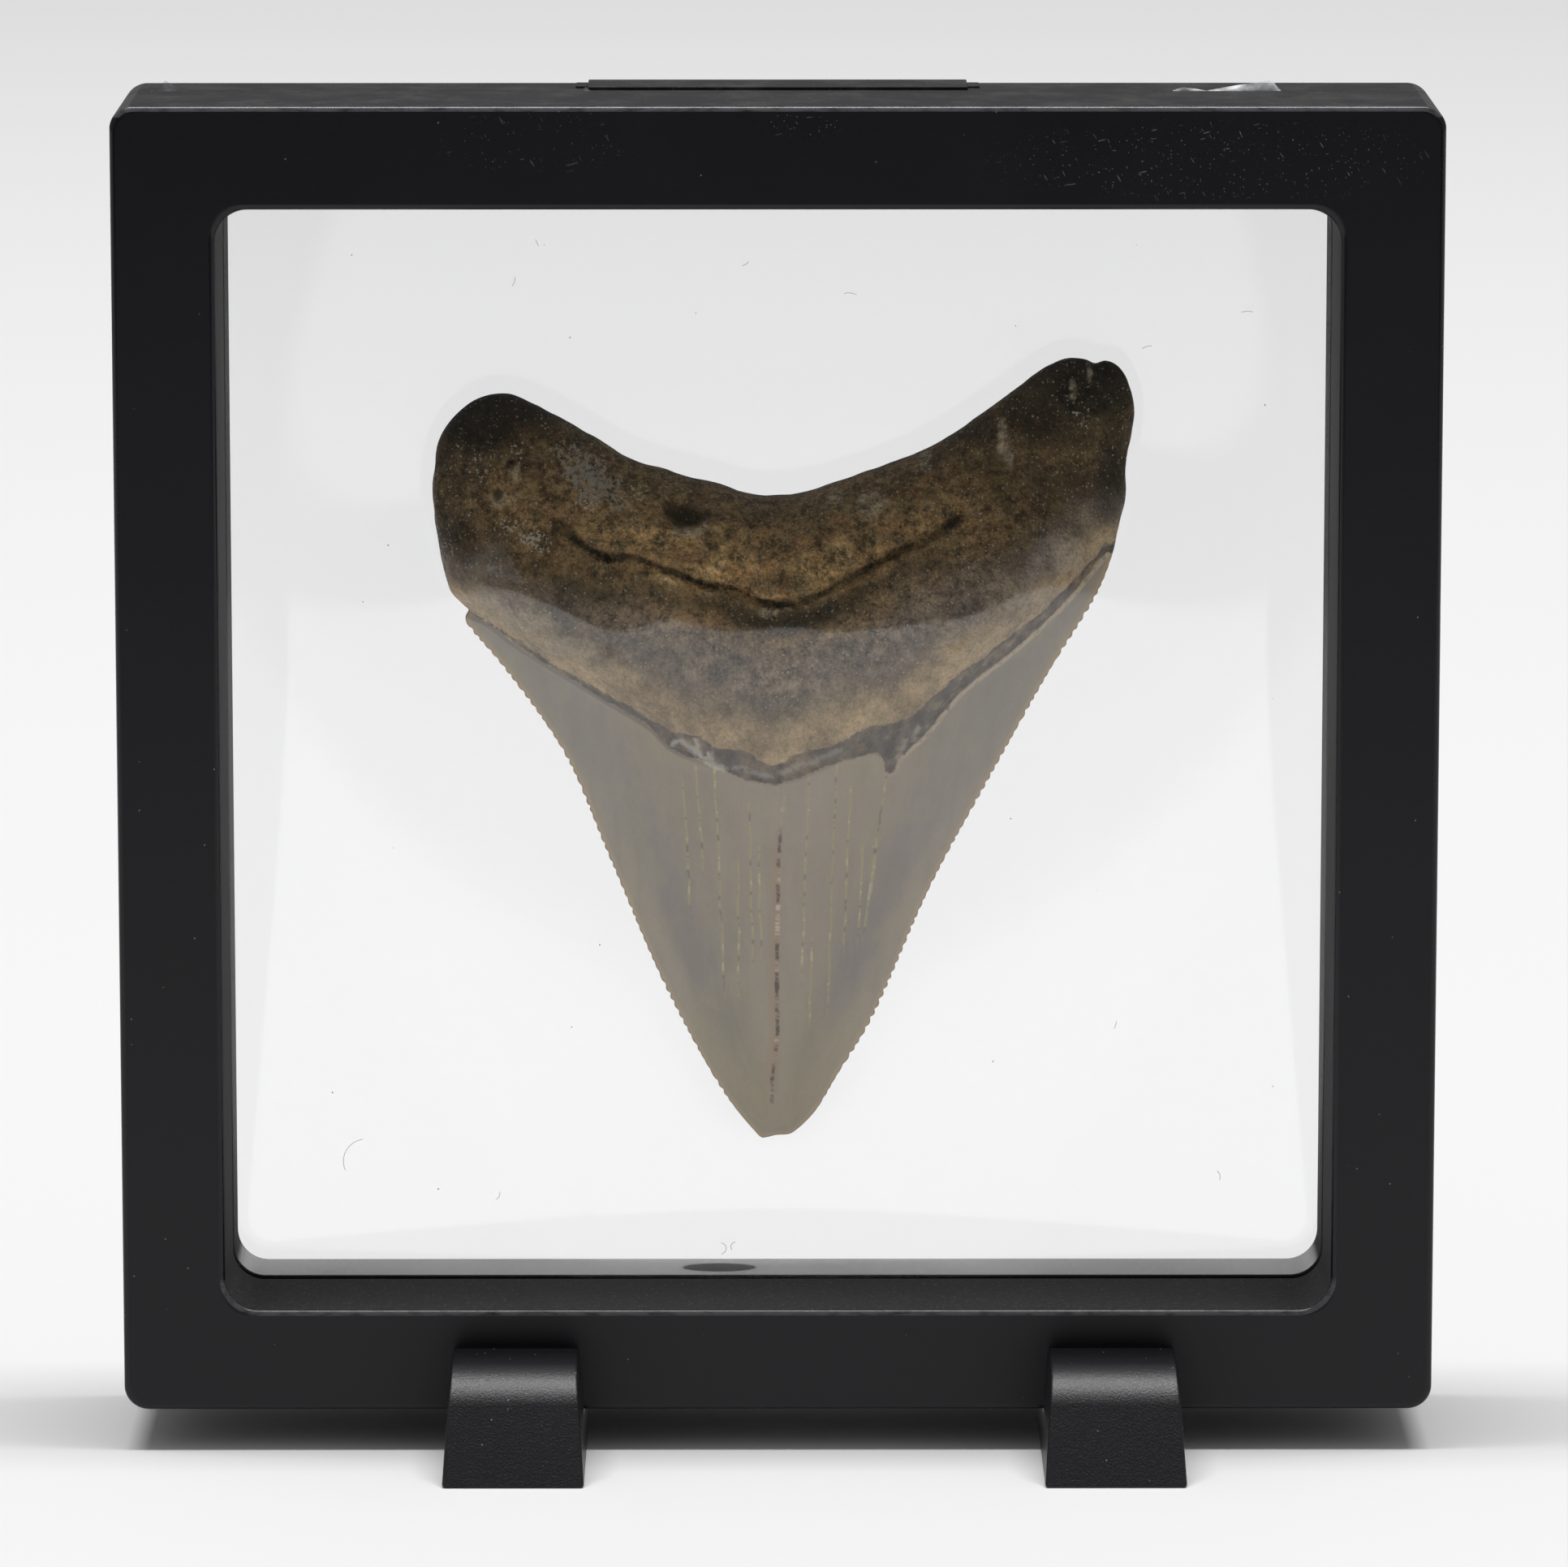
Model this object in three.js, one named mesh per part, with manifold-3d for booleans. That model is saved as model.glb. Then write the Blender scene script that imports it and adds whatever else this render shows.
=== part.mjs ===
// A fossil tooth held point down between two clear stretch films, in a square two-part display
// frame that stands in two slotted feet. Millimetres, +Z up, the front faces -Y. The origin is on
// the surface that it stands on, below the middle of the frame.
import * as THREE from "three";
import { mergeVertices } from "three/addons/utils/BufferGeometryUtils.js";
import Module from "manifold-3d";

const wasm = await Module();
wasm.setup();

// Frame
const FRAME_SIDE = 110;
const FRAME_DEPTH = 20;
const FRAME_BOTTOM = 3.5;
const BAR_WIDTH = 8.6;
const OUTER_CORNER = 2;
const INNER_CORNER = 2.7;
const FRONT_HALF_DEPTH = 12.6;
const EDGE_ROUND = 0.5;
const REBATE_WIDTH = 2;
const REBATE_DEPTH = 0.6;
const FILM_LAP = 0.9;
const HINGE_STRIP = { length: 31.8, depth: 6.2, rise: 0.3 };
const HINGE_LUG = { length: 1, depth: 3, rise: 0.22 };

// Film
const FILM_THICKNESS = 0.3;
const FILM_CELLS = 26;
const FILM_SWEEPS = 500;

// Tooth
const TOOTH_TIP = { x: 0, z: 24.3 };
const TOOTH_HEART = [0.1, 41.5];
const OUTLINE_STEPS = 84;

// Feet
const FOOT_HEIGHT = 8.9;
const FOOT_REACH = 13.25;
const FOOT_TOP_FLAT = 6;
const FOOT_ROUND = 4.7;
const FOOT_SLOPE_DEG = 26;
const FOOT_BASE_WIDTH = 11.8;
const FOOT_TOP_WIDTH = 10.6;
const FOOT_PLACES = { foot_left: -22, foot_right: 28 };

// Shared
const GAP = 0.3;
const ARC_STEPS = 4;
const FRONT_Y = -FRAME_DEPTH / 2;
const BACK_Y = FRAME_DEPTH / 2;
const SEAM_Y = FRONT_Y + FRONT_HALF_DEPTH;
const FRAME_MID_Z = FRAME_BOTTOM + FRAME_SIDE / 2;
const WINDOW_HALF = FRAME_SIDE / 2 - BAR_WIDTH;
const FILM_HALF = WINDOW_HALF + FILM_LAP;

// The tooth's outline seen from the front: x and the height over the tip, clockwise from the left
// lobe. Its root has two lobes with a dip between them, and its crown narrows to a blunt tip.
const OUTLINE = [
  [-22.8, 63.8],
  [-18.1, 61.7],
  [-12.2, 58.3],
  [-6.3, 56.5],
  [-0.4, 55.2],
  [6.0, 56.7],
  [12.8, 59.4],
  [18.7, 63.3],
  [23.3, 66.7],
  [25.1, 66.9],
  [26.4, 66.4],
  [28.4, 66.5],
  [30.0, 61.9],
  [29.4, 58.3],
  [28.9, 53.3],
  [27.3, 47.8],
  [22.8, 40.1],
  [17.8, 31.0],
  [13.0, 22.0],
  [7.8, 10.1],
  [5.1, 5.6],
  [2.8, 2.0],
  [0.8, 0.2],
  [-1.3, 0],
  [-4.5, 3.8],
  [-9.4, 12.8],
  [-14.4, 24.6],
  [-18.1, 33.3],
  [-23.1, 41.0],
  [-26.5, 44.5],
  [-26.1, 45.9],
  [-28.0, 47.8],
  [-28.6, 51.9],
  [-29.1, 56.0],
  [-28.0, 60.8],
  [-25.2, 63.4],
];

// How far the tooth stands out of its own middle plane, along its height.
const FRONT_SWELL = [
  [0, 0.9],
  [8, 3.2],
  [20, 5.6],
  [30, 7.4],
  [44, 8.8],
  [50, 8.3],
  [60, 5.8],
  [67, 4.6],
];
const BACK_SWELL = [
  [0, 0.6],
  [8, 1.4],
  [25, 2.4],
  [45, 3.6],
  [67, 3.4],
];
const CROWN = { halfWidthPerHeight: 0.52, tipHalfWidth: 1.4, front: 1.8, back: 3 };
const ROOT = { round: 9, backRound: 5, low: 36, high: 48, sideLoss: 0.42, halfWidth: 30 };

const toothCurve = new THREE.CatmullRomCurve3(
  OUTLINE.map(([x, h]) => new THREE.Vector3(x, h, 0)),
  true,
  "centripetal",
);
const rim = toothCurve.getSpacedPoints(OUTLINE_STEPS).slice(0, OUTLINE_STEPS);

function alongKnots(knots, at) {
  const next = knots.findIndex(([place]) => place > at);
  if (next === 0) return knots[0][1];
  if (next < 0) return knots[knots.length - 1][1];
  const [low, lowValue] = knots[next - 1];
  const [high, highValue] = knots[next];
  const eased = THREE.MathUtils.smootherstep(at, low, high);
  const straight = (at - low) / (high - low);
  return lowValue + (highValue - lowValue) * (0.7 * straight + 0.3 * eased);
}

function rimDistance(x, h) {
  let nearest = Infinity;
  for (let i = 0; i < rim.length; i++) {
    const a = rim[i];
    const b = rim[(i + 1) % rim.length];
    const dx = b.x - a.x;
    const dh = b.y - a.y;
    const along = ((x - a.x) * dx + (h - a.y) * dh) / (dx * dx + dh * dh);
    const t = THREE.MathUtils.clamp(along, 0, 1);
    nearest = Math.min(nearest, Math.hypot(x - a.x - t * dx, h - a.y - t * dh));
  }
  return nearest;
}

function insideRim(x, h) {
  let inside = false;
  for (let i = 0; i < rim.length; i++) {
    const a = rim[i];
    const b = rim[(i + 1) % rim.length];
    const crosses = a.y > h !== b.y > h;
    if (crosses && x < a.x + ((b.x - a.x) * (h - a.y)) / (b.y - a.y)) inside = !inside;
  }
  return inside;
}

// Height of one face over the middle plane: a wedge towards the crown's cutting edges, and a
// rounded flank on the root, swelling most where the crown meets the root.
function relief(x, h, swell, crownPower, rootRound) {
  const distance = rimDistance(x, h);
  const rootShare = THREE.MathUtils.smoothstep(h, ROOT.low, ROOT.high);
  const crownHalf = Math.min(CROWN.tipHalfWidth + CROWN.halfWidthPerHeight * h, 15);
  const crownIn = Math.min(distance / crownHalf, 1);
  const rootIn = Math.min(distance / rootRound, 1);
  const crownProfile = 1 - (1 - crownIn) ** crownPower;
  const rootProfile = Math.sqrt(1 - (1 - rootIn) ** 2);
  const side = 1 - ROOT.sideLoss * rootShare * (x / ROOT.halfWidth) ** 2;
  const profile = crownProfile + (rootProfile - crownProfile) * rootShare;
  return alongKnots(swell, h) * side * profile;
}

function frontRelief(x, h) {
  return relief(x, h, FRONT_SWELL, CROWN.front, ROOT.round);
}

function backRelief(x, h) {
  return relief(x, h, BACK_SWELL, CROWN.back, ROOT.backRound);
}

function indexedGeometry(vertices, triangles) {
  const geometry = new THREE.BufferGeometry();
  geometry.setAttribute("position", new THREE.Float32BufferAttribute(vertices.flat(), 3));
  geometry.setIndex(triangles.flat());
  return geometry;
}

function solidOf(geometry) {
  const bare = geometry.clone();
  bare.deleteAttribute("normal");
  bare.deleteAttribute("uv");
  const merged = mergeVertices(bare, 1e-4);
  const mesh = new wasm.Mesh({
    numProp: 3,
    vertProperties: new Float32Array(merged.attributes.position.array),
    triVerts: new Uint32Array(merged.index.array),
  });
  return new wasm.Manifold(mesh);
}

function geometryOf(solid) {
  const mesh = solid.getMesh();
  const geometry = new THREE.BufferGeometry();
  const places = new THREE.BufferAttribute(new Float32Array(mesh.vertProperties), 3);
  geometry.setAttribute("position", places);
  geometry.setIndex(new THREE.BufferAttribute(new Uint32Array(mesh.triVerts), 1));
  geometry.computeVertexNormals();
  return geometry;
}

// A square loop with rounded corners, anticlockwise seen from the front.
function squareLoop(inset, y) {
  const half = FRAME_SIDE / 2 - inset;
  const share = THREE.MathUtils.clamp(inset / BAR_WIDTH, 0, 1);
  const radius = THREE.MathUtils.lerp(OUTER_CORNER, INNER_CORNER, share);
  const loop = [];
  for (let corner = 0; corner < 4; corner++) {
    for (let step = 0; step <= ARC_STEPS; step++) {
      const turn = ((corner + step / ARC_STEPS) * Math.PI) / 2;
      const centreTurn = ((corner + 0.5) * Math.PI) / 2;
      const centreX = Math.sign(Math.cos(centreTurn)) * (half - radius);
      const centreZ = Math.sign(Math.sin(centreTurn)) * (half - radius);
      const x = centreX + radius * Math.cos(turn);
      const z = FRAME_MID_Z + centreZ + radius * Math.sin(turn);
      loop.push([x, y, z]);
    }
  }
  return loop;
}

// The bar's section swept round the square. Each section point is an inset from the outer edge and
// a place in depth.
function sweptRing(section) {
  const loops = section.map(([inset, y]) => squareLoop(inset, y));
  const around = loops[0].length;
  const triangles = [];
  for (let s = 0; s < loops.length; s++) {
    for (let i = 0; i < around; i++) {
      const a = s * around + i;
      const b = s * around + ((i + 1) % around);
      const c = ((s + 1) % loops.length) * around + i;
      const d = ((s + 1) % loops.length) * around + ((i + 1) % around);
      triangles.push([a, b, d], [a, d, c]);
    }
  }
  return indexedGeometry(loops.flat(), triangles);
}

// Half of the frame from its outer face to its mating face. inward is +1 for the front half, whose
// depth runs along +Y, and -1 for the back half.
function halfSection(outerY, inward) {
  const soft = EDGE_ROUND * 0.3;
  const mating = SEAM_Y - (inward * GAP) / 2;
  const rebate = mating - inward * REBATE_DEPTH;
  return [
    [0, outerY + inward * EDGE_ROUND],
    [soft, outerY + inward * soft],
    [EDGE_ROUND, outerY],
    [BAR_WIDTH - EDGE_ROUND, outerY],
    [BAR_WIDTH - soft, outerY + inward * soft],
    [BAR_WIDTH, outerY + inward * EDGE_ROUND],
    [BAR_WIDTH, rebate],
    [BAR_WIDTH - REBATE_WIDTH, rebate],
    [BAR_WIDTH - REBATE_WIDTH, mating],
    [0, mating],
  ];
}

function frontFrame() {
  return sweptRing(halfSection(FRONT_Y, 1));
}

function topBlock(size, x) {
  const sunk = 1;
  const block = new THREE.BoxGeometry(size.length, size.depth, size.rise + sunk);
  const middleY = (SEAM_Y + BACK_Y) / 2;
  block.translate(x, middleY, FRAME_BOTTOM + FRAME_SIDE + (size.rise - sunk) / 2);
  return block;
}

// The back half carries a low raised strip along its top, with a small lug at each end of it.
function backFrame() {
  const ring = solidOf(sweptRing(halfSection(BACK_Y, -1).reverse()));
  const strip = solidOf(topBlock(HINGE_STRIP, 0));
  const lugX = (HINGE_STRIP.length + HINGE_LUG.length) / 2;
  const lugs = [-lugX, lugX].map((x) => solidOf(topBlock(HINGE_LUG, x)));
  return geometryOf(lugs.reduce((all, lug) => all.add(lug), ring.add(strip)));
}

// What a film has to clear at one point: the tooth's relief anywhere within a cell of it.
function clearance(x, h, cell, reliefAt) {
  let most = 0;
  for (let i = -2; i <= 2; i++) {
    for (let j = -2; j <= 2; j++) {
      const nearX = x + (i / 2) * cell;
      const nearH = h + (j / 2) * cell;
      if (insideRim(nearX, nearH)) most = Math.max(most, reliefAt(nearX, nearH) + GAP);
    }
  }
  return most;
}

// A film pinned round the window and pulled tight over the tooth, as a square grid of lifts.
function filmLifts(reliefAt) {
  const n = FILM_CELLS + 1;
  const cell = (2 * FILM_HALF) / FILM_CELLS;
  const floor = [];
  for (let j = 0; j < n; j++) {
    for (let i = 0; i < n; i++) {
      const x = -FILM_HALF + i * cell;
      const h = FRAME_MID_Z - FILM_HALF + j * cell - TOOTH_TIP.z;
      const pinned = Math.min(i, j, n - 1 - i, n - 1 - j) < 1;
      floor.push(pinned ? 0 : clearance(x - TOOTH_TIP.x, h, cell, reliefAt));
    }
  }
  const lift = floor.slice();
  for (let sweep = 0; sweep < FILM_SWEEPS; sweep++) {
    for (let j = 2; j < n - 2; j++) {
      for (let i = 2; i < n - 2; i++) {
        const at = j * n + i;
        const mean = (lift[at - 1] + lift[at + 1] + lift[at - n] + lift[at + n]) / 4;
        lift[at] = Math.max(floor[at], mean);
      }
    }
  }
  return lift;
}

// side is -1 for the film in front of the tooth and +1 for the one behind it.
function film(reliefAt, side) {
  const n = FILM_CELLS + 1;
  const cell = (2 * FILM_HALF) / FILM_CELLS;
  const lifts = filmLifts(reliefAt);
  const vertices = [];
  for (const layer of [GAP / 2 + FILM_THICKNESS, GAP / 2]) {
    lifts.forEach((lift, at) => {
      const x = -FILM_HALF + (at % n) * cell;
      const z = FRAME_MID_Z - FILM_HALF + Math.floor(at / n) * cell;
      vertices.push([x, SEAM_Y + side * (layer + lift), z]);
    });
  }
  const inner = n * n;
  const triangles = [];
  for (let j = 0; j < FILM_CELLS; j++) {
    for (let i = 0; i < FILM_CELLS; i++) {
      const a = j * n + i;
      triangles.push([a, a + 1, a + n + 1], [a, a + n + 1, a + n]);
      triangles.push([inner + a, inner + a + n + 1, inner + a + 1]);
      triangles.push([inner + a, inner + a + n, inner + a + n + 1]);
    }
  }
  const last = n - 1;
  const border = [];
  for (let i = 0; i < last; i++) border.push(i);
  for (let j = 0; j < last; j++) border.push(j * n + last);
  for (let i = last; i > 0; i--) border.push(last * n + i);
  for (let j = last; j > 0; j--) border.push(j * n);
  border.forEach((a, at) => {
    const b = border[(at + 1) % border.length];
    triangles.push([a, inner + a, inner + b], [a, inner + b, b]);
  });
  const turned = side < 0 ? triangles : triangles.map(([a, b, c]) => [a, c, b]);
  return indexedGeometry(vertices, turned);
}

// The tooth as rings drawn in from its outline to its heart, on a front and a back face that share
// the outline itself.
function tooth() {
  const shares = [0.985, 0.94, 0.86, 0.74, 0.58, 0.4, 0.2];
  const [heartX, heartH] = TOOTH_HEART;
  const vertices = rim.map((p) => [p.x, 0, p.y]);
  const triangles = [];
  const faces = [
    [frontRelief, -1],
    [backRelief, 1],
  ];
  for (const [reliefAt, side] of faces) {
    const start = vertices.length;
    for (const share of shares) {
      for (const p of rim) {
        const x = heartX + (p.x - heartX) * share;
        const h = heartH + (p.y - heartH) * share;
        vertices.push([x, side * reliefAt(x, h), h]);
      }
    }
    const heart = vertices.length;
    vertices.push([heartX, side * reliefAt(heartX, heartH), heartH]);
    const count = rim.length;
    const ringStart = (ring) => (ring === 0 ? 0 : start + (ring - 1) * count);
    const made = [];
    for (let ring = 0; ring < shares.length; ring++) {
      for (let i = 0; i < count; i++) {
        const next = (i + 1) % count;
        const a = ringStart(ring) + i;
        const b = ringStart(ring) + next;
        const c = ringStart(ring + 1) + i;
        const d = ringStart(ring + 1) + next;
        made.push([a, b, d], [a, d, c]);
      }
    }
    for (let i = 0; i < count; i++) {
      const lastRing = ringStart(shares.length);
      made.push([lastRing + i, lastRing + ((i + 1) % count), heart]);
    }
    triangles.push(...(side < 0 ? made.map(([a, b, c]) => [a, c, b]) : made));
  }
  const geometry = indexedGeometry(vertices, triangles);
  geometry.translate(TOOTH_TIP.x, SEAM_Y, TOOTH_TIP.z);
  return geometry;
}

// A foot's side view: two ears with rounded shoulders and sloping ends, and a slot for the frame.
function footShape() {
  const slotHalf = FRAME_DEPTH / 2 + GAP;
  const slotFloor = FRAME_BOTTOM - GAP;
  const slope = THREE.MathUtils.degToRad(FOOT_SLOPE_DEG);
  const shoulderY = FRAME_DEPTH / 2 + FOOT_TOP_FLAT;
  const shoulderZ = FOOT_HEIGHT - FOOT_ROUND;
  const end = FRAME_DEPTH / 2 + FOOT_REACH;
  const shape = new THREE.Shape();
  shape.moveTo(-end, 0);
  shape.lineTo(end, 0);
  shape.absarc(shoulderY, shoulderZ, FOOT_ROUND, slope, Math.PI / 2, false);
  shape.lineTo(slotHalf, FOOT_HEIGHT);
  shape.lineTo(slotHalf, slotFloor);
  shape.lineTo(-slotHalf, slotFloor);
  shape.lineTo(-slotHalf, FOOT_HEIGHT);
  shape.absarc(-shoulderY, shoulderZ, FOOT_ROUND, Math.PI / 2, Math.PI - slope, false);
  shape.closePath();
  return shape;
}

function foot() {
  const settings = { depth: FOOT_BASE_WIDTH, bevelEnabled: false, curveSegments: 6 };
  const geometry = new THREE.ExtrudeGeometry(footShape(), settings);
  geometry.translate(0, 0, -FOOT_BASE_WIDTH / 2);
  const across = new THREE.Vector3(1, 0, 0);
  const along = new THREE.Vector3(0, 1, 0);
  const up = new THREE.Vector3(0, 0, 1);
  geometry.applyMatrix4(new THREE.Matrix4().makeBasis(along, up, across));
  const places = geometry.attributes.position;
  const loss = (1 - FOOT_TOP_WIDTH / FOOT_BASE_WIDTH) / FOOT_HEIGHT;
  for (let i = 0; i < places.count; i++) {
    places.setX(i, places.getX(i) * (1 - loss * places.getZ(i)));
  }
  return geometry;
}

function blackPlastic(roughness) {
  return new THREE.MeshStandardMaterial({ color: 0x1b1b1e, roughness, metalness: 0 });
}

function clearFilm() {
  const look = { color: 0xf2f4f4, roughness: 0.08, metalness: 0 };
  return new THREE.MeshStandardMaterial({ ...look, transparent: true, opacity: 0.15 });
}

function fossil() {
  return new THREE.MeshStandardMaterial({ color: 0x8a8074, roughness: 0.5, metalness: 0 });
}

function named(name, geometry, material) {
  const mesh = new THREE.Mesh(geometry, material);
  mesh.name = name;
  return mesh;
}

const display = new THREE.Group();
display.add(named("front_frame", frontFrame(), blackPlastic(0.45)));
display.add(named("back_frame", backFrame(), blackPlastic(0.45)));
display.add(named("front_film", film(frontRelief, -1), clearFilm()));
display.add(named("back_film", film(backRelief, 1), clearFilm()));
display.add(named("tooth", tooth(), fossil()));
for (const [name, x] of Object.entries(FOOT_PLACES)) {
  const piece = named(name, foot(), blackPlastic(0.55));
  piece.position.x = x;
  display.add(piece);
}

export default display;
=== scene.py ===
# %% [markdown]
# # A fossil shark tooth in a floating display frame
#
# The object is a big fossil tooth, held point down between two sheets of clear stretch film. Each
# film is clamped in one half of a square black frame, and the frame stands in two slotted feet.
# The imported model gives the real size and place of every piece, so it is loaded first and it is
# never moved. Everything that follows is built around it, in the same place.

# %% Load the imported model
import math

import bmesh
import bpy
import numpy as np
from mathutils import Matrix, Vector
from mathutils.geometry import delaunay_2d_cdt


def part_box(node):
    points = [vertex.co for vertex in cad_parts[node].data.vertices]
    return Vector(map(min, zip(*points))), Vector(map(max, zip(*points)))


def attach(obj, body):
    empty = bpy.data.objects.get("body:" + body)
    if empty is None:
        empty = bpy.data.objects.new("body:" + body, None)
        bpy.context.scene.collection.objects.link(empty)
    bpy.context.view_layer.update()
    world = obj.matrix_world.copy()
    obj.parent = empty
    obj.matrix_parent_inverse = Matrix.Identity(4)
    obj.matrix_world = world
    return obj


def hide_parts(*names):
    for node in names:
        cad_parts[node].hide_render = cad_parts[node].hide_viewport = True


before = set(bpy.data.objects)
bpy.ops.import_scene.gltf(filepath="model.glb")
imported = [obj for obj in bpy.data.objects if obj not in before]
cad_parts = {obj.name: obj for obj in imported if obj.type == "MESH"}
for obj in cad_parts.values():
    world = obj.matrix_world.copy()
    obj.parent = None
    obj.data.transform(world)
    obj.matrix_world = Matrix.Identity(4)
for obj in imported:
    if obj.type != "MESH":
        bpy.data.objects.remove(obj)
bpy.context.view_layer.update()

# %% [markdown]
# ## Units and the sizes that drive the rest
#
# A display this small is easiest to think about in millimetres, while Blender works in metres. So
# the shapes are worked out in millimetres as plain numpy arrays, and one helper scales them when it
# makes the mesh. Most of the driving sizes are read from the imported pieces, so nothing has to be
# fitted. A box can't tell how wide the frame's bar is or how round its corners are, so those three
# are given here.

MM = 0.001


def box_mm(node):
    """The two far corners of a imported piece, in millimetres."""
    low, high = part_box(node)
    return Vector(low) / MM, Vector(high) / MM


front_low, front_high = box_mm("front_frame")
back_low, back_high = box_mm("back_frame")
tooth_low, tooth_high = box_mm("tooth")
film_low, film_high = box_mm("front_film")
HALF_SIDE = (front_high.x - front_low.x) / 2
MIDDLE_Z = (front_low.z + front_high.z) / 2
FRONT_Y = front_low.y
BACK_Y = back_high.y
SEAM_Y = (front_high.y + back_low.y) / 2
TIP_Z = tooth_low.z
HALF_TOOTH = (tooth_high.x - tooth_low.x) / 2
FILM_HALF = (film_high.x - film_low.x) / 2
BAR = 8.6
OUTER_CORNER = 2.0
INNER_CORNER = 2.7
TOP_Z = MIDDLE_Z + HALF_SIDE
SILL_Z = front_low.z + BAR
print(f"frame {2 * HALF_SIDE:.1f} mm square, {BACK_Y - FRONT_Y:.1f} mm deep, seam at {SEAM_Y:.1f}")

# %% [markdown]
# ## The camera
#
# A long lens stands a little above the display and looks down on it by about ten degrees, which
# shows the top of the frame, the floor of its window and the tops of the feet. A long lens from
# far off keeps the square frame nearly square.

# %% Place the camera
EYE = Vector((-1.4, -780, 190.6))
LOOK_AT = Vector((0.5, FRONT_Y, 57.0))
LENS = 215.7
SENSOR = 36

camera_data = bpy.data.cameras.new("long_lens")
camera_data.sensor_width = SENSOR
camera_data.lens = LENS
camera_data.clip_start = 0.02
camera_data.clip_end = 60
camera = bpy.data.objects.new("long_lens", camera_data)
camera.location = EYE * MM
camera.rotation_euler = (LOOK_AT - EYE).to_track_quat("-Z", "Y").to_euler()
bpy.context.scene.collection.objects.link(camera)
bpy.context.scene.camera = camera
bpy.context.scene.view_settings.view_transform = "Standard"
print("camera", [round(v, 3) for v in camera.location])

# %% [markdown]
# ## Shader maths as expressions
#
# A procedural material is a small calculation: noise here, a mask there, one minus the mask, and a
# mix of two colours. Written node by node it is hard to read. Here one small class wraps a socket,
# so that adding or multiplying two of them adds the Math node. Every other node comes from one
# method, which takes the node's type, its settings and what goes into its sockets.

# %% A wire that can be added and multiplied
class Wire:
    """An output socket. Sums, differences and products of wires add Math nodes to the finish."""

    def __init__(self, finish, socket):
        self.finish = finish
        self.socket = socket

    def maths(self, operation, *values):
        return self.finish.node("Math", {"operation": operation}, dict(enumerate(values)))

    def __add__(self, other):
        return self.maths("ADD", self, other)

    def __sub__(self, other):
        return self.maths("SUBTRACT", self, other)

    def __rsub__(self, other):
        return self.maths("SUBTRACT", other, self)

    def __mul__(self, other):
        return self.maths("MULTIPLY", self, other)

    def __abs__(self):
        return self.maths("ABSOLUTE", self)

    __radd__ = __add__
    __rmul__ = __mul__

    def least(self, other):
        return self.maths("MINIMUM", self, other)

    def most(self, other):
        return self.maths("MAXIMUM", self, other)

    def rise(self, low, high):
        """0 up to low, 1 from high on, and an S-curve between them."""
        settings = {"interpolation_type": "SMOOTHSTEP"}
        return self.finish.node("MapRange", settings, {0: self, 1: low, 2: high})

    def fall(self, low, high):
        """1 up to low, 0 from high on."""
        return 1 - self.rise(low, high)


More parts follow.
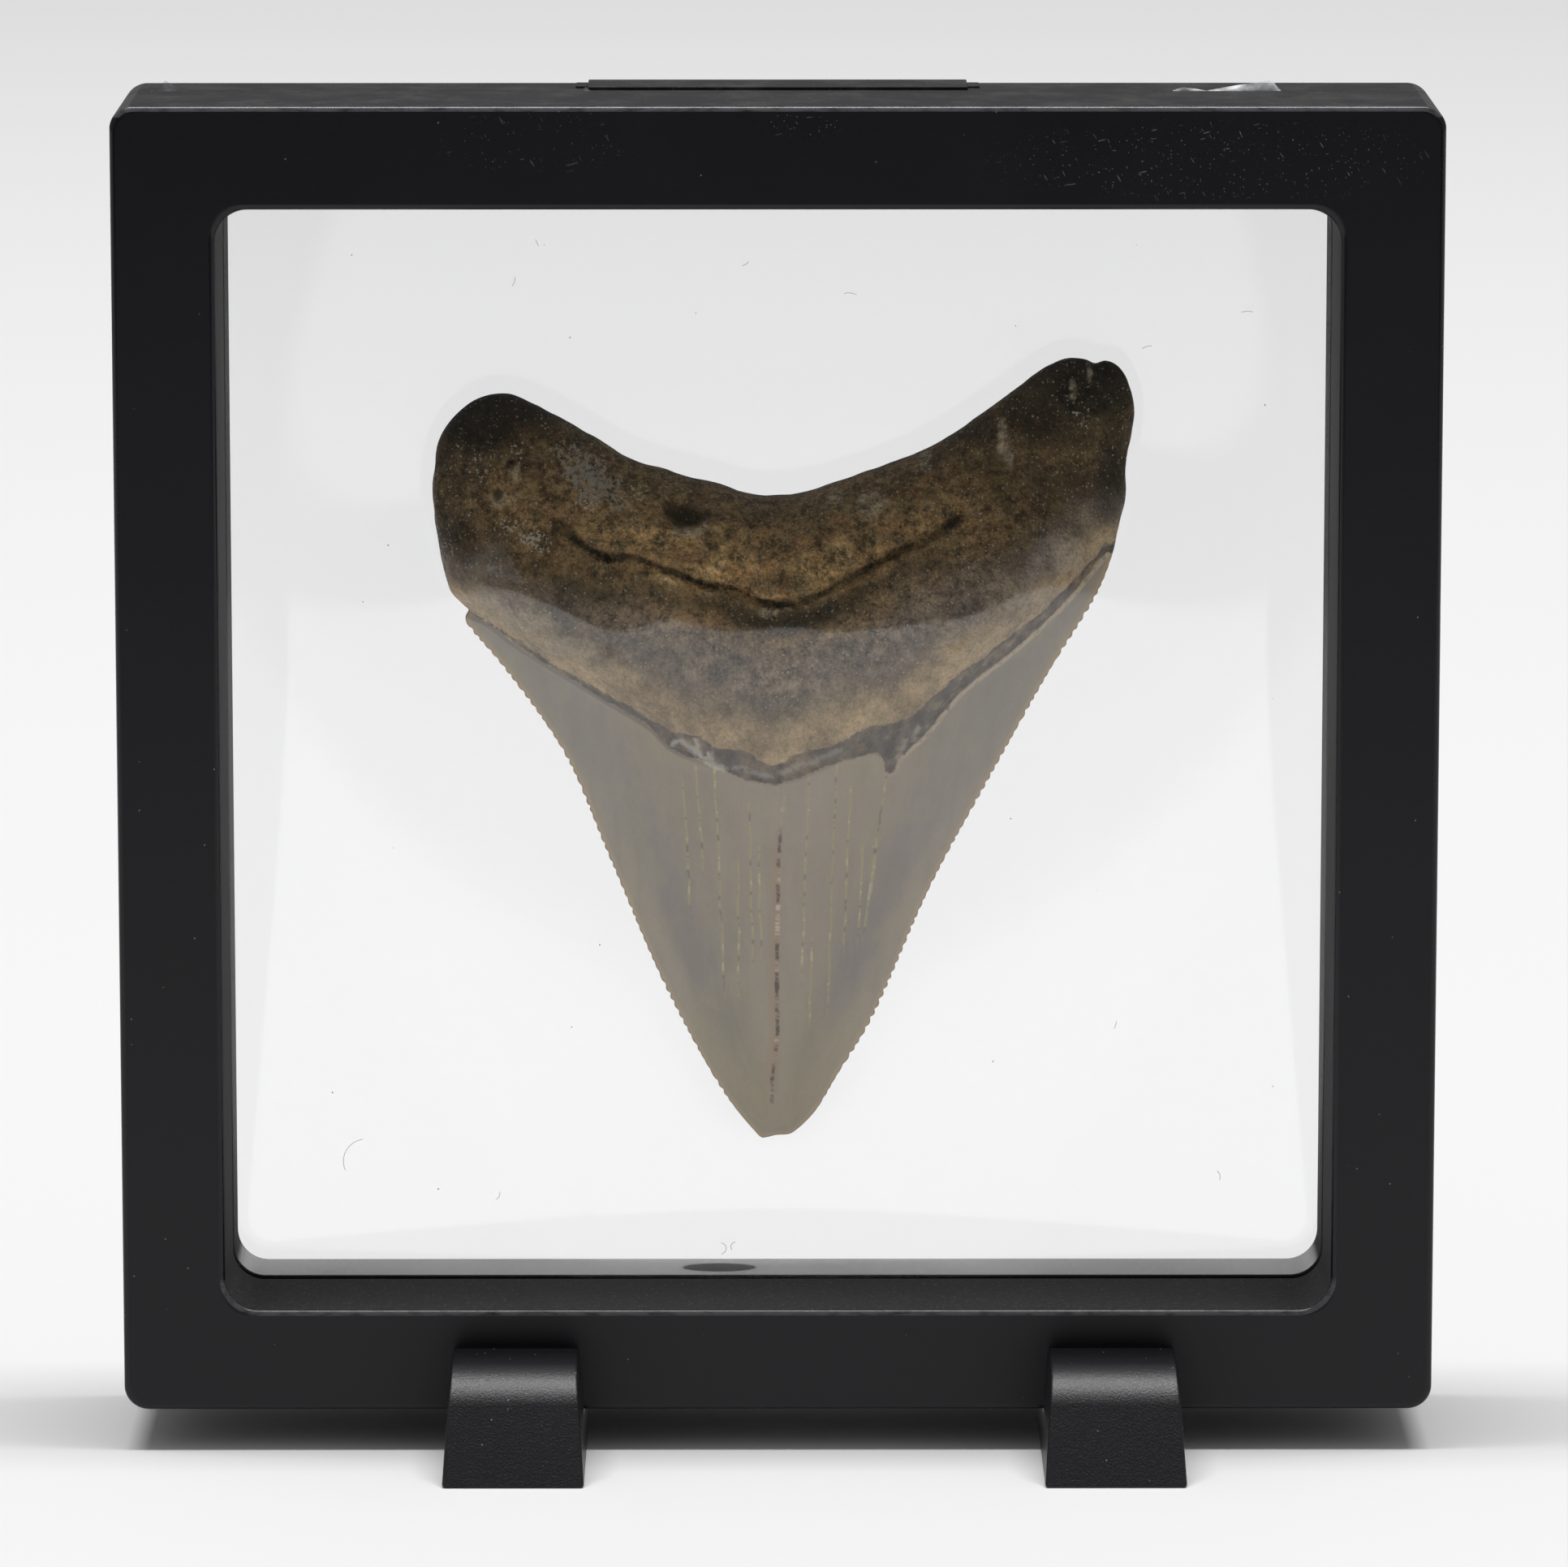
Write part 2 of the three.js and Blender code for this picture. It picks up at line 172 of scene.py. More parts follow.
# %% A finish: a material and the nodes in it
class Finish:
    """A material being made. node(...) adds any node and gives back its output as a wire."""

    def __init__(self, name):
        self.material = bpy.data.materials.new(name)
        self.material.use_nodes = True
        self.tree = self.material.node_tree
        self.tree.nodes.clear()

    def plug(self, socket, value):
        """Links a wire to the socket, or sets a plain number, colour or vector on it."""
        if isinstance(value, Wire):
            self.tree.links.new(value.socket, socket)
        elif isinstance(value, (tuple, list)) and socket.type == "RGBA":
            socket.default_value = (*value, 1)
        else:
            socket.default_value = value

    def node(self, kind, settings=None, inputs=None, output=0):
        """Adds a node: its settings first, then the values or wires of its sockets."""
        made = self.tree.nodes.new("ShaderNode" + kind)
        for name, value in (settings or {}).items():
            if name == "stops":
                self.set_stops(made.color_ramp.elements, value)
            else:
                setattr(made, name, value)
        for place, value in (inputs or {}).items():
            self.plug(made.inputs[place], value)
        return Wire(self, made.outputs[output])

    def set_stops(self, elements, stops):
        while len(elements) < len(stops):
            elements.new(0.5)
        for element, (position, colour) in zip(elements, stops):
            element.position = position
            element.color = (*colour, 1)

    def place(self, stretch=(1, 1, 1)):
        """The point on the object in millimetres. A share below 1 stretches what is drawn there."""
        where = self.node("TexCoord", output="Object")
        scale = [share / MM for share in stretch]
        return self.node("VectorMath", {"operation": "MULTIPLY"}, {0: where, 1: scale})

    def axes(self):
        """x, y and z on the object in millimetres."""
        where = self.place()
        return [self.node("SeparateXYZ", None, {0: where}, output=axis) for axis in range(3)]

    def noise(self, size, detail=3, place=None, roughness=0.55):
        """Cloudy noise from 0 to 1, whose lumps are about size millimetres across."""
        inputs = {"Vector": place or self.place(), "Scale": 1 / size, "Detail": detail}
        inputs["Roughness"] = roughness
        return self.node("TexNoise", None, inputs)

    def mix(self, share, first, second):
        """The first colour where share is 0, and the second where it is 1."""
        return self.node("Mix", {"data_type": "RGBA"}, {0: share, 6: first, 7: second}, output=2)

    def shade(self, share, colour):
        """The colour made lighter or darker by a factor that varies."""
        settings = {"data_type": "RGBA", "blend_type": "MULTIPLY"}
        grey = self.node("CombineColor", None, {0: share, 1: share, 2: share})
        return self.node("Mix", settings, {0: 1.0, 6: colour, 7: grey}, output=2)

    def mask(self, name):
        """A value that was worked out for every point of the mesh."""
        return self.node("Attribute", {"attribute_name": name}, output="Fac")

    def bump(self, height, distance, strength=1.0):
        """A rough skin: the normal tilts as if the surface rose by distance millimetres."""
        inputs = {"Height": height, "Distance": distance * MM, "Strength": strength}
        return self.node("Bump", None, inputs)

    def principled(self, inputs):
        return self.surface(self.node("BsdfPrincipled", None, inputs))

    def surface(self, shader):
        """Ends the finish with this shader and gives back the material."""
        out = self.tree.nodes.new("ShaderNodeOutputMaterial")
        self.tree.links.new(shader.socket, out.inputs["Surface"])
        return self.material


def most_of(wires):
    """The highest of several wires at each point."""
    highest = wires[0]
    for wire in wires[1:]:
        highest = highest.most(wire)
    return highest


print("shader helpers ready")

# %% [markdown]
# ## The studio
#
# The display stands on a plain pale table under one long soft light, straight overhead. The light
# is narrow from front to back, so the frame's shadow stays tucked under it, and the frame's top
# bar shades the tooth from above: most of the tooth's light comes up from the table. The far table
# falls off to a soft grey by itself.
#
# Clear film shows what it mirrors. Two dark cards in front of the display stand for the unlit room
# beyond the table's edge: the lower part of the film mirrors the pale table, and the upper part,
# which leans back, mirrors the dark room. Two bright cards do the opposite. A small one behind puts
# a sheen on the sill of the back half, and a long strip overhead draws the light lines along the
# frame's edges and the shoulders of the feet. Only mirrors and glossy skins see any of the four.

# %% Light the table
TABLE_TONE = (0.82, 0.82, 0.825)
TABLE_UNEVEN = 0.985
TABLE_HALF = 5000
KEY_HEIGHT = 3000
KEY_Y = -60
KEY_SIZE_M = (2.4, 0.5)
KEY_POWER = 84
AMBIENT = 0.31


def add_card(name, corners, finish):
    """A flat card of the studio. It is no part of the object."""
    mesh = bpy.data.meshes.new(name)
    mesh.from_pydata([Vector(c) * MM for c in corners], [], [(0, 1, 2, 3)])
    mesh.materials.append(finish)
    card = bpy.data.objects.new(name, mesh)
    bpy.context.scene.collection.objects.link(card)
    return card


def flat_card(half_x, near_y, far_y, z):
    return [(-half_x, near_y, z), (half_x, near_y, z), (half_x, far_y, z), (-half_x, far_y, z)]


table = Finish("pale_table")
uneven_tone = [TABLE_UNEVEN * tone for tone in TABLE_TONE]
table_tone = table.mix(table.noise(400, 2), TABLE_TONE, uneven_tone)
matt_table = {"Base Color": table_tone, "Roughness": 0.9, "Specular IOR Level": 0.0}
add_card("table", flat_card(TABLE_HALF, -TABLE_HALF, TABLE_HALF, 0), table.principled(matt_table))

key_data = bpy.data.lights.new("overhead_light", "AREA")
key_data.shape = "RECTANGLE"
key_data.size, key_data.size_y = KEY_SIZE_M
key_data.energy = KEY_POWER
key = bpy.data.objects.new("overhead_light", key_data)
key.location = Vector((0, KEY_Y, KEY_HEIGHT)) * MM
key.visible_camera = False
bpy.context.scene.collection.objects.link(key)

world = bpy.data.worlds.new("soft_room_light")
world.use_nodes = True
sky = world.node_tree.nodes["Background"]
sky.inputs["Color"].default_value = (1, 1, 1, 1)
sky.inputs["Strength"].default_value = AMBIENT
bpy.context.scene.world = world
print(f"light {KEY_POWER} W at {KEY_HEIGHT} mm, room light {AMBIENT}")

# %% Stand the cards that only gloss sees
ROOM_STARTS = 444
ROOM_ENDS = 1500
ROOM_HEIGHT = 1100
ROOM_HALF = 1200
CARD_LIFT = 2
SHEEN_CARD = {"half_x": 130, "y": 240, "low_z": 30, "high_z": 90}
SHEEN_STRENGTH = 2.8
STRIP_FROM = -310
STRIP_TO = 190
STRIP_UNDER_LIGHT = 20
STRIP_STRENGTH = 15


def upright_card(half_x, y, low_z, high_z):
    return [(-half_x, y, low_z), (half_x, y, low_z), (half_x, y, high_z), (-half_x, y, high_z)]


def add_gloss_card(name, corners, finish):
    """A card that glossy surfaces mirror. It is hidden from the camera and blocks no light."""
    card = add_card(name, corners, finish)
    card.visible_camera = False
    card.visible_shadow = False
    card.visible_diffuse = False


def glowing(name, strength):
    glow = Finish(name)
    return glow.surface(glow.node("Emission", None, {"Color": (1, 1, 1), "Strength": strength}))


unlit = {"Base Color": (0.012, 0.012, 0.012), "Roughness": 1.0, "Specular IOR Level": 0.0}
dark_card = Finish("dark_room_card").principled(unlit)
room_floor = flat_card(ROOM_HALF, -ROOM_ENDS, -ROOM_STARTS, CARD_LIFT)
room_wall = upright_card(ROOM_HALF, -ROOM_ENDS, CARD_LIFT, ROOM_HEIGHT)
strip_z = KEY_HEIGHT - STRIP_UNDER_LIGHT
strip_overhead = flat_card(ROOM_HALF, STRIP_FROM, STRIP_TO, strip_z)[::-1]
add_gloss_card("dark_room_low", room_floor, dark_card)
add_gloss_card("dark_room_high", room_wall, dark_card)
add_gloss_card("card_behind", upright_card(**SHEEN_CARD), glowing("bright_card", SHEEN_STRENGTH))
add_gloss_card("strip_overhead", strip_overhead, glowing("bright_strip", STRIP_STRENGTH))
print(f"dark room from {ROOM_STARTS} mm to {ROOM_ENDS} mm in front")

# %% [markdown]
# ## Making a piece
#
# Every piece is a mesh whose points are already where they belong, so its object stays at the
# origin. The first helper takes points in millimetres, shades the mesh smooth, lets it ride on the
# one rigid body and hides the imported solid it stands for. The others hand over what a bmesh
# made, put several lists of points and faces into one, and look after the shading of rounded edges.

# %% Helpers that make a piece
def add_piece(name, points, faces, finishes, slot, stands_for=None):
    """A piece of the object, in its place."""
    mesh = bpy.data.meshes.new(name)
    places = (np.asarray(points, float) * MM).tolist()
    mesh.from_pydata(places, [], [list(map(int, face)) for face in faces])
    mesh.shade_smooth()
    for finish in finishes:
        mesh.materials.append(finish)
    piece = bpy.data.objects.new(name, mesh)
    bpy.context.scene.collection.objects.link(piece)
    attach(piece, "root")
    if stands_for:
        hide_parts(stands_for)
    print(f"{name}: {len(mesh.vertices)} points, {len(mesh.polygons)} faces")
    return piece


def mesh_lists(made):
    """The points and faces of a bmesh, which is then let go."""
    made.verts.ensure_lookup_table()
    points = [tuple(vertex.co) for vertex in made.verts]
    faces = [[vertex.index for vertex in face.verts] for face in made.faces]
    made.free()
    return points, faces


def joined(parts):
    """Several lists of points and faces as one."""
    points, faces = [], []
    for more_points, more_faces in parts:
        start = len(points)
        points.extend(more_points)
        faces.extend([[start + v for v in face] for face in more_faces])
    return points, faces


def even_normals(piece):
    """Lets the broad flats keep their own normals and the narrow rounds take the turn."""
    piece.modifiers.new("even_normals", "WEIGHTED_NORMAL").keep_sharp = True


print("piece helpers ready")

# %% [markdown]
# ## Black plastic
#
# The frame is moulded in black plastic with a satin skin. It is almost black, so what shows is the
# sheen, the dust, a painted highlight on the upper edges and a few short scuffs. Dust is scattered
# by a fine Voronoi pattern: a cell shows a speck only where its own random value is high, so specks
# come at random and not in a grid. The scuffs come from noise that is stretched a long way in one
# direction and cut off hard. Each kind of wear has a place of its own: dust settles on top and on
# the sill of the window, hands scuff the front of the top bar, and the front edges are worn smooth.
# The pale line along the rounded front edges that face up is a painted highlight.

# %% Specks, scuffs and ovals
def specks(finish, size, share, spread):
    """Round specks in cells of a size. share of the cells has one, spread is its radius."""
    inputs = {"Vector": finish.place(), "Scale": 1 / size}
    distance = finish.node("TexVoronoi", None, inputs, output="Distance")
    colour = finish.node("TexVoronoi", None, inputs, output="Color")
    chance = finish.node("SeparateColor", None, {0: colour})
    return distance.fall(0.5 * spread, spread) * chance.rise(1 - share, 1 - share + 0.01)


def scuffs(finish, stretch, turn, limit):
    """Short fine lines that lean one way."""
    rotated = finish.node("VectorRotate", {"rotation_type": "EULER_XYZ"},
                          {"Vector": finish.place(), "Rotation": (0, turn, 0)})
    long = finish.node("VectorMath", {"operation": "MULTIPLY"}, {0: rotated, 1: stretch})
    return finish.noise(1, 1, long).rise(limit, limit + 0.03)


def blot(finish, centre, radii):
    """1 at the centre and 0 outside an oval round it, which has soft edges."""
    moved = finish.node("VectorMath", {"operation": "SUBTRACT"}, {0: finish.place(), 1: centre})
    scaled = finish.node("VectorMath", {"operation": "DIVIDE"}, {0: moved, 1: radii})
    reach = finish.node("VectorMath", {"operation": "LENGTH"}, {0: scaled}, output="Value")
    return reach.fall(0.55, 1.0)


def past_square(x, z, half, radius):
    """How far a point is past a square with rounded corners, negative inside it."""
    across = abs(x) - (half - radius)
    up = abs(z - MIDDLE_Z) - (half - radius)
    out_x, out_z = across.most(0), up.most(0)
    corner = x.maths("SQRT", out_x * out_x + out_z * out_z)
    return corner + across.most(up).least(0) - radius


print("wear helpers ready")

# %% Dust and scuffs on the frame
DUST_TONE = (0.30, 0.30, 0.31)
TOP_DUST_TONE = (0.230, 0.230, 0.215)
SILL_DUST_TONE = (0.130, 0.120, 0.095)
# Each handled oval: x, how far under the top, half width, half height and strength.
HANDLED = [(36, 4.5, 22, 4, 1), (2, 1.5, 4, 1.5, 1), (-20, 3, 10, 3, 0.6)]
HANDLED_DEPTH = 3


def handling_marks(plastic):
    """Lone specks everywhere, and short scuffs where fingers hold the top bar."""
    handled = most_of([
        strength * blot(plastic, (x, FRONT_Y, TOP_Z - under), (across, HANDLED_DEPTH, up))
        for x, under, across, up, strength in HANDLED
    ])
    more_dust = specks(plastic, 0.4, 0.35, 0.15) + specks(plastic, 0.27, 0.25, 0.2)
    lines = scuffs(plastic, (4, 4, 0.7), 0.5, 0.70) + scuffs(plastic, (0.7, 4, 4), 0.2, 0.71)
    return specks(plastic, 0.9, 0.10, 0.09) + (0.8 * more_dust + 0.45 * lines) * handled


def dust_on_top(plastic, on_top):
    """A cloudy film of dust with grains in it."""
    cloud = plastic.noise(5, 7, roughness=0.72).rise(0.42, 0.68)
    grains = specks(plastic, 0.45, 0.45, 0.22) + specks(plastic, 0.28, 0.40, 0.24)
    return (0.35 * cloud + grains * (0.4 + 0.6 * cloud)).least(1) * on_top


def dust_on_sill(plastic, tone, sill):
    """Settled dust, with coarser grit lying in it."""
    settled = plastic.noise(0.6, 6, roughness=0.75).rise(0.46, 0.72) * sill
    tone = plastic.mix(settled * 0.20, tone, SILL_DUST_TONE)
    grit = (specks(plastic, 0.5, 0.30, 0.16) + specks(plastic, 0.3, 0.25, 0.2)) * sill
    return plastic.mix(grit.least(1) * 0.5, tone, DUST_TONE)


print(f"dust lies on the top at {TOP_Z:.1f} mm and on the sill at {SILL_Z:.1f} mm")


# %% Satin black plastic
EDGE_ROUND = 0.5
SATIN_TONES = [(0.0042, 0.0042, 0.0064), (0.0066, 0.0066, 0.0090)]
# The pale tone of the painted highlight along the upper front edges.
EDGE_HIGHLIGHT_TONE = (0.250, 0.250, 0.265)
SMUDGE_AT = (-5, SEAM_Y + 3.6, SILL_Z + 0.3)
SMUDGE_SIZE = (3.8, 2.0, 3)


def frame_plastic():
    plastic = Finish("satin_black_plastic")
    x, y, z = plastic.axes()
    past_window = past_square(x, z, HALF_SIDE - BAR, INNER_CORNER)
    on_top = z.rise(TOP_Z - 0.06, TOP_Z - 0.01)
    in_window = past_window.fall(0.01, 0.08)
    sill = in_window * z.fall(SILL_Z + 1.1, SILL_Z + 1.9)

    smear = plastic.noise(14, 4)
    tone = plastic.mix(smear, *SATIN_TONES)
    marks = handling_marks(plastic)
    tone = plastic.mix(marks.least(1) * 0.6, tone, DUST_TONE)
    tone = plastic.mix(dust_on_top(plastic, on_top) * 0.30, tone, TOP_DUST_TONE)
    tone = dust_on_sill(plastic, tone, sill)

    # Only the rounded front edges that face up get a pale painted highlight. All are polished.
    past_side = past_square(x, z, HALF_SIDE, OUTER_CORNER)
    outer_edge = past_side.rise(-EDGE_ROUND, -EDGE_ROUND + 0.05) * (1 - on_top)
    inner_edge = past_window.fall(EDGE_ROUND - 0.05, EDGE_ROUND) * (1 - in_window)
    polished = (outer_edge + inner_edge) * y.fall(FRONT_Y + EDGE_ROUND, FRONT_Y + EDGE_ROUND + 0.1)
    top_edge = outer_edge * z.rise(TOP_Z - 1, TOP_Z - 0.9)
    sill_edge = inner_edge * z.fall(SILL_Z + 1.9, SILL_Z + 2.9)
    ragged = plastic.noise(0.5, 5, plastic.place((0.3, 1, 1))).rise(0.15, 0.60)
    painted_edge_highlight = (top_edge + sill_edge) * polished * ragged
    tone = plastic.mix(painted_edge_highlight * 0.30, tone, EDGE_HIGHLIGHT_TONE)

    # The inside of the window is matt, but the back half's sill keeps its gloss, less one smudge.
    behind = y.rise(SEAM_Y - 0.1, SEAM_Y + 0.1)
    smudge = 0.6 * blot(plastic, SMUDGE_AT, SMUDGE_SIZE).rise(0.2, 0.5)
    worn = in_window * (1 - behind * sill * (1 - smudge))
    roughness = 0.31 + 0.10 * smear + 0.25 * marks + 0.50 * worn + 0.30 * on_top - 0.16 * polished
    fine_skin = plastic.bump(plastic.noise(0.16, 2), 0.012, 0.5)
    return plastic.principled({"Base Color": tone, "Roughness": roughness, "Normal": fine_skin,
                               "Specular IOR Level": 0.30})


black_frame = frame_plastic()
print("finish", black_frame.name)

# %% [markdown]
# ## The two halves of the frame
#
# Each half is one moulding: a bar with the same section all the way round a square with rounded
# corners. The section is a list of places, each an inset from the outer edge and a depth, and it
# is swept round the square, as a router follows a template. The front edges are rounded, the two
# mating edges have a small chamfer, which draws the fine dark line of the seam, and a shallow
# rebate beside the window takes the margin of the film.

# %% Sweep a section round a square
SEAM_CHAMFER = 0.16
SEAM_GAP = 0.004
REBATE_WIDTH = 2.0
REBATE_DEPTH = 0.6
CORNER_STEPS = 14


def square_loop(inset, y):
    """A square loop with rounded corners, anticlockwise seen from the front."""
    share = min(max(inset / BAR, 0), 1)
    radius = OUTER_CORNER + (INNER_CORNER - OUTER_CORNER) * share
    reach = HALF_SIDE - inset - radius
    loop = []
    for corner in range(4):
        middle = (corner + 0.5) * math.pi / 2
        side_x = math.copysign(reach, math.cos(middle))
        side_z = math.copysign(reach, math.sin(middle))
        for step in range(CORNER_STEPS + 1):
            turn = (corner + step / CORNER_STEPS) * math.pi / 2
            x = side_x + radius * math.cos(turn)
            loop.append((x, y, MIDDLE_Z + side_z + radius * math.sin(turn)))
    return loop


def swept_ring(section):
    """The section's points all the way round the square, joined into a closed ring."""
    loops = [square_loop(inset, y) for inset, y in section]
    around = len(loops[0])
    faces = []
    for ring in range(len(loops)):
        here = ring * around
        there = (ring + 1) % len(loops) * around
        for i in range(around):
            j = (i + 1) % around
            faces.append((here + i, here + j, there + j, there + i))
    return [point for loop in loops for point in loop], faces


def edge_round(inset, into, outer_y, inward):
    """A quarter round on one edge of the outer face, from the side to the face."""
    turns = np.linspace(0, math.pi / 2, 6)
    insets = inset + into * EDGE_ROUND * (1 - np.cos(turns))
    depths = outer_y + inward * EDGE_ROUND * (1 - np.sin(turns))
    return list(zip(insets, depths))


def half_section(outer_y, inward):
    """The bar from its outer face to its mating face. inward is +1 where the depth runs to +Y."""
    mating = SEAM_Y - inward * SEAM_GAP / 2
    rebate = mating - inward * REBATE_DEPTH
    return [
        *edge_round(0, 1, outer_y, inward),
        *edge_round(BAR, -1, outer_y, inward)[::-1],
        (BAR, rebate - inward * SEAM_CHAMFER),
        (BAR - SEAM_CHAMFER, rebate),
        (BAR - REBATE_WIDTH, rebate),
        (BAR - REBATE_WIDTH, mating),
        (SEAM_CHAMFER, mating),
        (0, mating - inward * SEAM_CHAMFER),
    ]


print(f"{len(half_section(FRONT_Y, 1))} places on the section of each half")

# %% Make the front half
ring_points, ring_faces = swept_ring(half_section(FRONT_Y, 1))
front_half = add_piece("front_moulding", ring_points, ring_faces, [black_frame],
                       "frame_plastic", "front_frame")
even_normals(front_half)

# %% [markdown]
# ## The back half's strip and lugs
#
# The back half carries a low strip along the middle of its top edge, with a small lug at each end.
# They stand only a fraction of a millimetre proud, but the bright table behind shows them as a
# step in the outline. A bevelled block does for each, sunk a little into the bar below it.

# %% Make the back half
ROUND_STEPS = 3


def bevelled_block(centre, size, radius):
    block = bmesh.new()
    bmesh.ops.create_cube(block, size=1)
    for vertex in block.verts:
        vertex.co = Vector(c + v * s for c, v, s in zip(centre, vertex.co, size))
    bmesh.ops.bevel(block, geom=block.edges[:], offset=radius, segments=ROUND_STEPS,
                    profile=0.5, affect="EDGES")
    return mesh_lists(block)


STRIP = {"length": 31.8, "depth": 6.2, "rise": 0.3}
LUG = {"length": 1.0, "depth": 3.0, "rise": 0.22}
BLOCK_SUNK = 0.8
BLOCK_ROUND = 0.08

strip_y = (SEAM_Y + BACK_Y) / 2
back_parts = [swept_ring(half_section(BACK_Y, -1)[::-1])]
lug_x = (STRIP["length"] + LUG["length"]) / 2
for block, x in ((STRIP, 0), (LUG, -lug_x), (LUG, lug_x)):
    centre = (x, strip_y, TOP_Z + (block["rise"] - BLOCK_SUNK) / 2)
    size = (block["length"], block["depth"], block["rise"] + BLOCK_SUNK)
    back_parts.append(bevelled_block(centre, size, BLOCK_ROUND))
back_half = add_piece("back_moulding", *joined(back_parts), [black_frame],
                      "frame_plastic", "back_frame")
even_normals(back_half)

# %% [markdown]
# ## The feet
#
# A foot is a small block with a slot across it that the frame drops into. Seen from the side it has
# two ears with round shoulders and ends that slope out to the table. The side view is drawn once,
# made into a prism that narrows a little towards the top, as a moulding must to leave its mould,
# and then every sharp edge is rounded. The feet have a coarser spark-eroded skin than the frame: a
# fine grain that sparkles where the light strikes the shoulder.

# %% Grained plastic for the feet
def foot_plastic():
    plastic = Finish("grained_black_plastic")
    grain = plastic.noise(0.19, 3, roughness=0.75)
    dust = specks(plastic, 0.7, 0.14, 0.13)
    tone = plastic.mix(plastic.noise(6, 3), (0.0038, 0.0038, 0.0058), (0.0062, 0.0062, 0.0084))
    tone = plastic.mix(dust * 0.6, tone, DUST_TONE)
    roughness = 0.30 + 0.12 * grain + 0.3 * dust
    return plastic.principled({"Base Color": tone, "Roughness": roughness,
                               "Normal": plastic.bump(grain, 0.05, 0.9),
                               "Specular IOR Level": 0.44})


grained = foot_plastic()
print("finish", grained.name)

# %% Draw a foot's side view
FOOT_TOP_WIDTH = 10.6
FOOT_SHOULDER = 4.7
FOOT_FLAT = 6.0
FOOT_SLOPE = math.radians(26)
FOOT_SLOT_GAP = 0.12
FOOT_EDGE = 0.28
SHOULDER_STEPS = 16
SHARP_EDGE = math.radians(20)
foot_low, foot_high = box_mm("foot_left")
foot_width = foot_high.x - foot_low.x
frame_half_depth = (BACK_Y - FRONT_Y) / 2


def foot_side():
    """Points (y, z) of half the side view, from the slot's floor to the table."""
    slot = frame_half_depth + FOOT_SLOT_GAP
    shoulder_y = frame_half_depth + FOOT_FLAT
    shoulder_z = foot_high.z - FOOT_SHOULDER
    outline = [(slot, front_low.z - FOOT_SLOT_GAP), (slot, foot_high.z)]
    for step in range(SHOULDER_STEPS + 1):
        turn = math.pi / 2 + (FOOT_SLOPE - math.pi / 2) * step / SHOULDER_STEPS
        y = shoulder_y + FOOT_SHOULDER * math.cos(turn)
        outline.append((y, shoulder_z + FOOT_SHOULDER * math.sin(turn)))
    return outline + [(foot_high.y, 0)]


print(f"foot {foot_width:.1f} mm wide, {foot_high.z:.1f} mm tall")


# %% Make both feet
def foot_mesh(middle_x):
    """The side view as a prism that narrows towards the top, with its sharp edges rounded."""
    right = foot_side()
    outline = right + [(-y, z) for y, z in reversed(right)]
    foot = bmesh.new()
    sides = []
    for end in (-1, 1):
        ring = []
        for y, z in outline:
            half = (foot_width + (FOOT_TOP_WIDTH - foot_width) * z / foot_high.z) / 2
            ring.append(foot.verts.new((middle_x + end * half, y, z)))
        sides.append(ring)
    foot.faces.new(sides[0])
    foot.faces.new(sides[1][::-1])
    for i in range(len(outline)):
        j = (i + 1) % len(outline)
        foot.faces.new((sides[0][j], sides[0][i], sides[1][i], sides[1][j]))
    bmesh.ops.recalc_face_normals(foot, faces=foot.faces[:])
    sharp = [edge for edge in foot.edges if edge.calc_face_angle(0) > SHARP_EDGE]
    bmesh.ops.bevel(foot, geom=sharp, offset=FOOT_EDGE, segments=ROUND_STEPS,
                    profile=0.5, affect="EDGES")
    return mesh_lists(foot)


for name in ("foot_left", "foot_right"):
    low, high = box_mm(name)
    points, faces = foot_mesh((low.x + high.x) / 2)
    foot = add_piece(name + "_moulding", points, faces, [grained], "foot_plastic", name)
    even_normals(foot)

# %% [markdown]
# ## The tooth's outline
#
# The tooth is drawn as a face: an outline, and a relief that says how far each point of the face
# stands out from the tooth's middle plane. The outline goes through a few dozen places, from the
# left lobe of the root clockwise, by a centripetal Catmull-Rom curve, which never overshoots at a
# tight corner. x runs to the right and h is the height over the tip, both in millimetres.

# %% Curves through places
CURVE_STEPS = 30


def curve_piece(before, start, end, after, share):
    """One stretch of a centripetal Catmull-Rom curve, from start to end."""
    gaps = [math.sqrt(math.dist(a, b)) for a, b in ((before, start), (start, end), (end, after))]
    first, here, last = gaps
    leave = (start - before) / first - (end - before) / (first + here) + (end - start) / here
    arrive = (end - start) / here - (after - start) / (here + last) + (after - end) / last
    s2, s3 = share**2, share**3
    bends = (s3 - 2 * s2 + share) * leave * here + (s3 - s2) * arrive * here
    return (2 * s3 - 3 * s2 + 1) * start + (3 * s2 - 2 * s3) * end + bends


def smooth_path(places, step, closed=False):
    """Evenly spaced points along the curve through the places, about step apart."""
    knots = np.array(places, float)
    if closed:
        knots = np.vstack([knots[-1:], knots, knots[:2]])
    else:
        knots = np.vstack([2 * knots[0] - knots[1], knots, 2 * knots[-1] - knots[-2]])
    share = np.linspace(0, 1, CURVE_STEPS, endpoint=False)[:, None]
    windows = zip(knots, knots[1:], knots[2:], knots[3:])
    dense = np.vstack([curve_piece(*window, share) for window in windows] + [knots[-2:-1]])
    travelled = np.concatenate([[0], np.cumsum(np.hypot(*np.diff(dense, axis=0).T))])
    count = int(round(travelled[-1] / step)) + (0 if closed else 1)
    even = np.linspace(0, travelled[-1], count, endpoint=not closed)
    return np.column_stack([np.interp(even, travelled, column) for column in dense.T])


print("curve helpers ready")

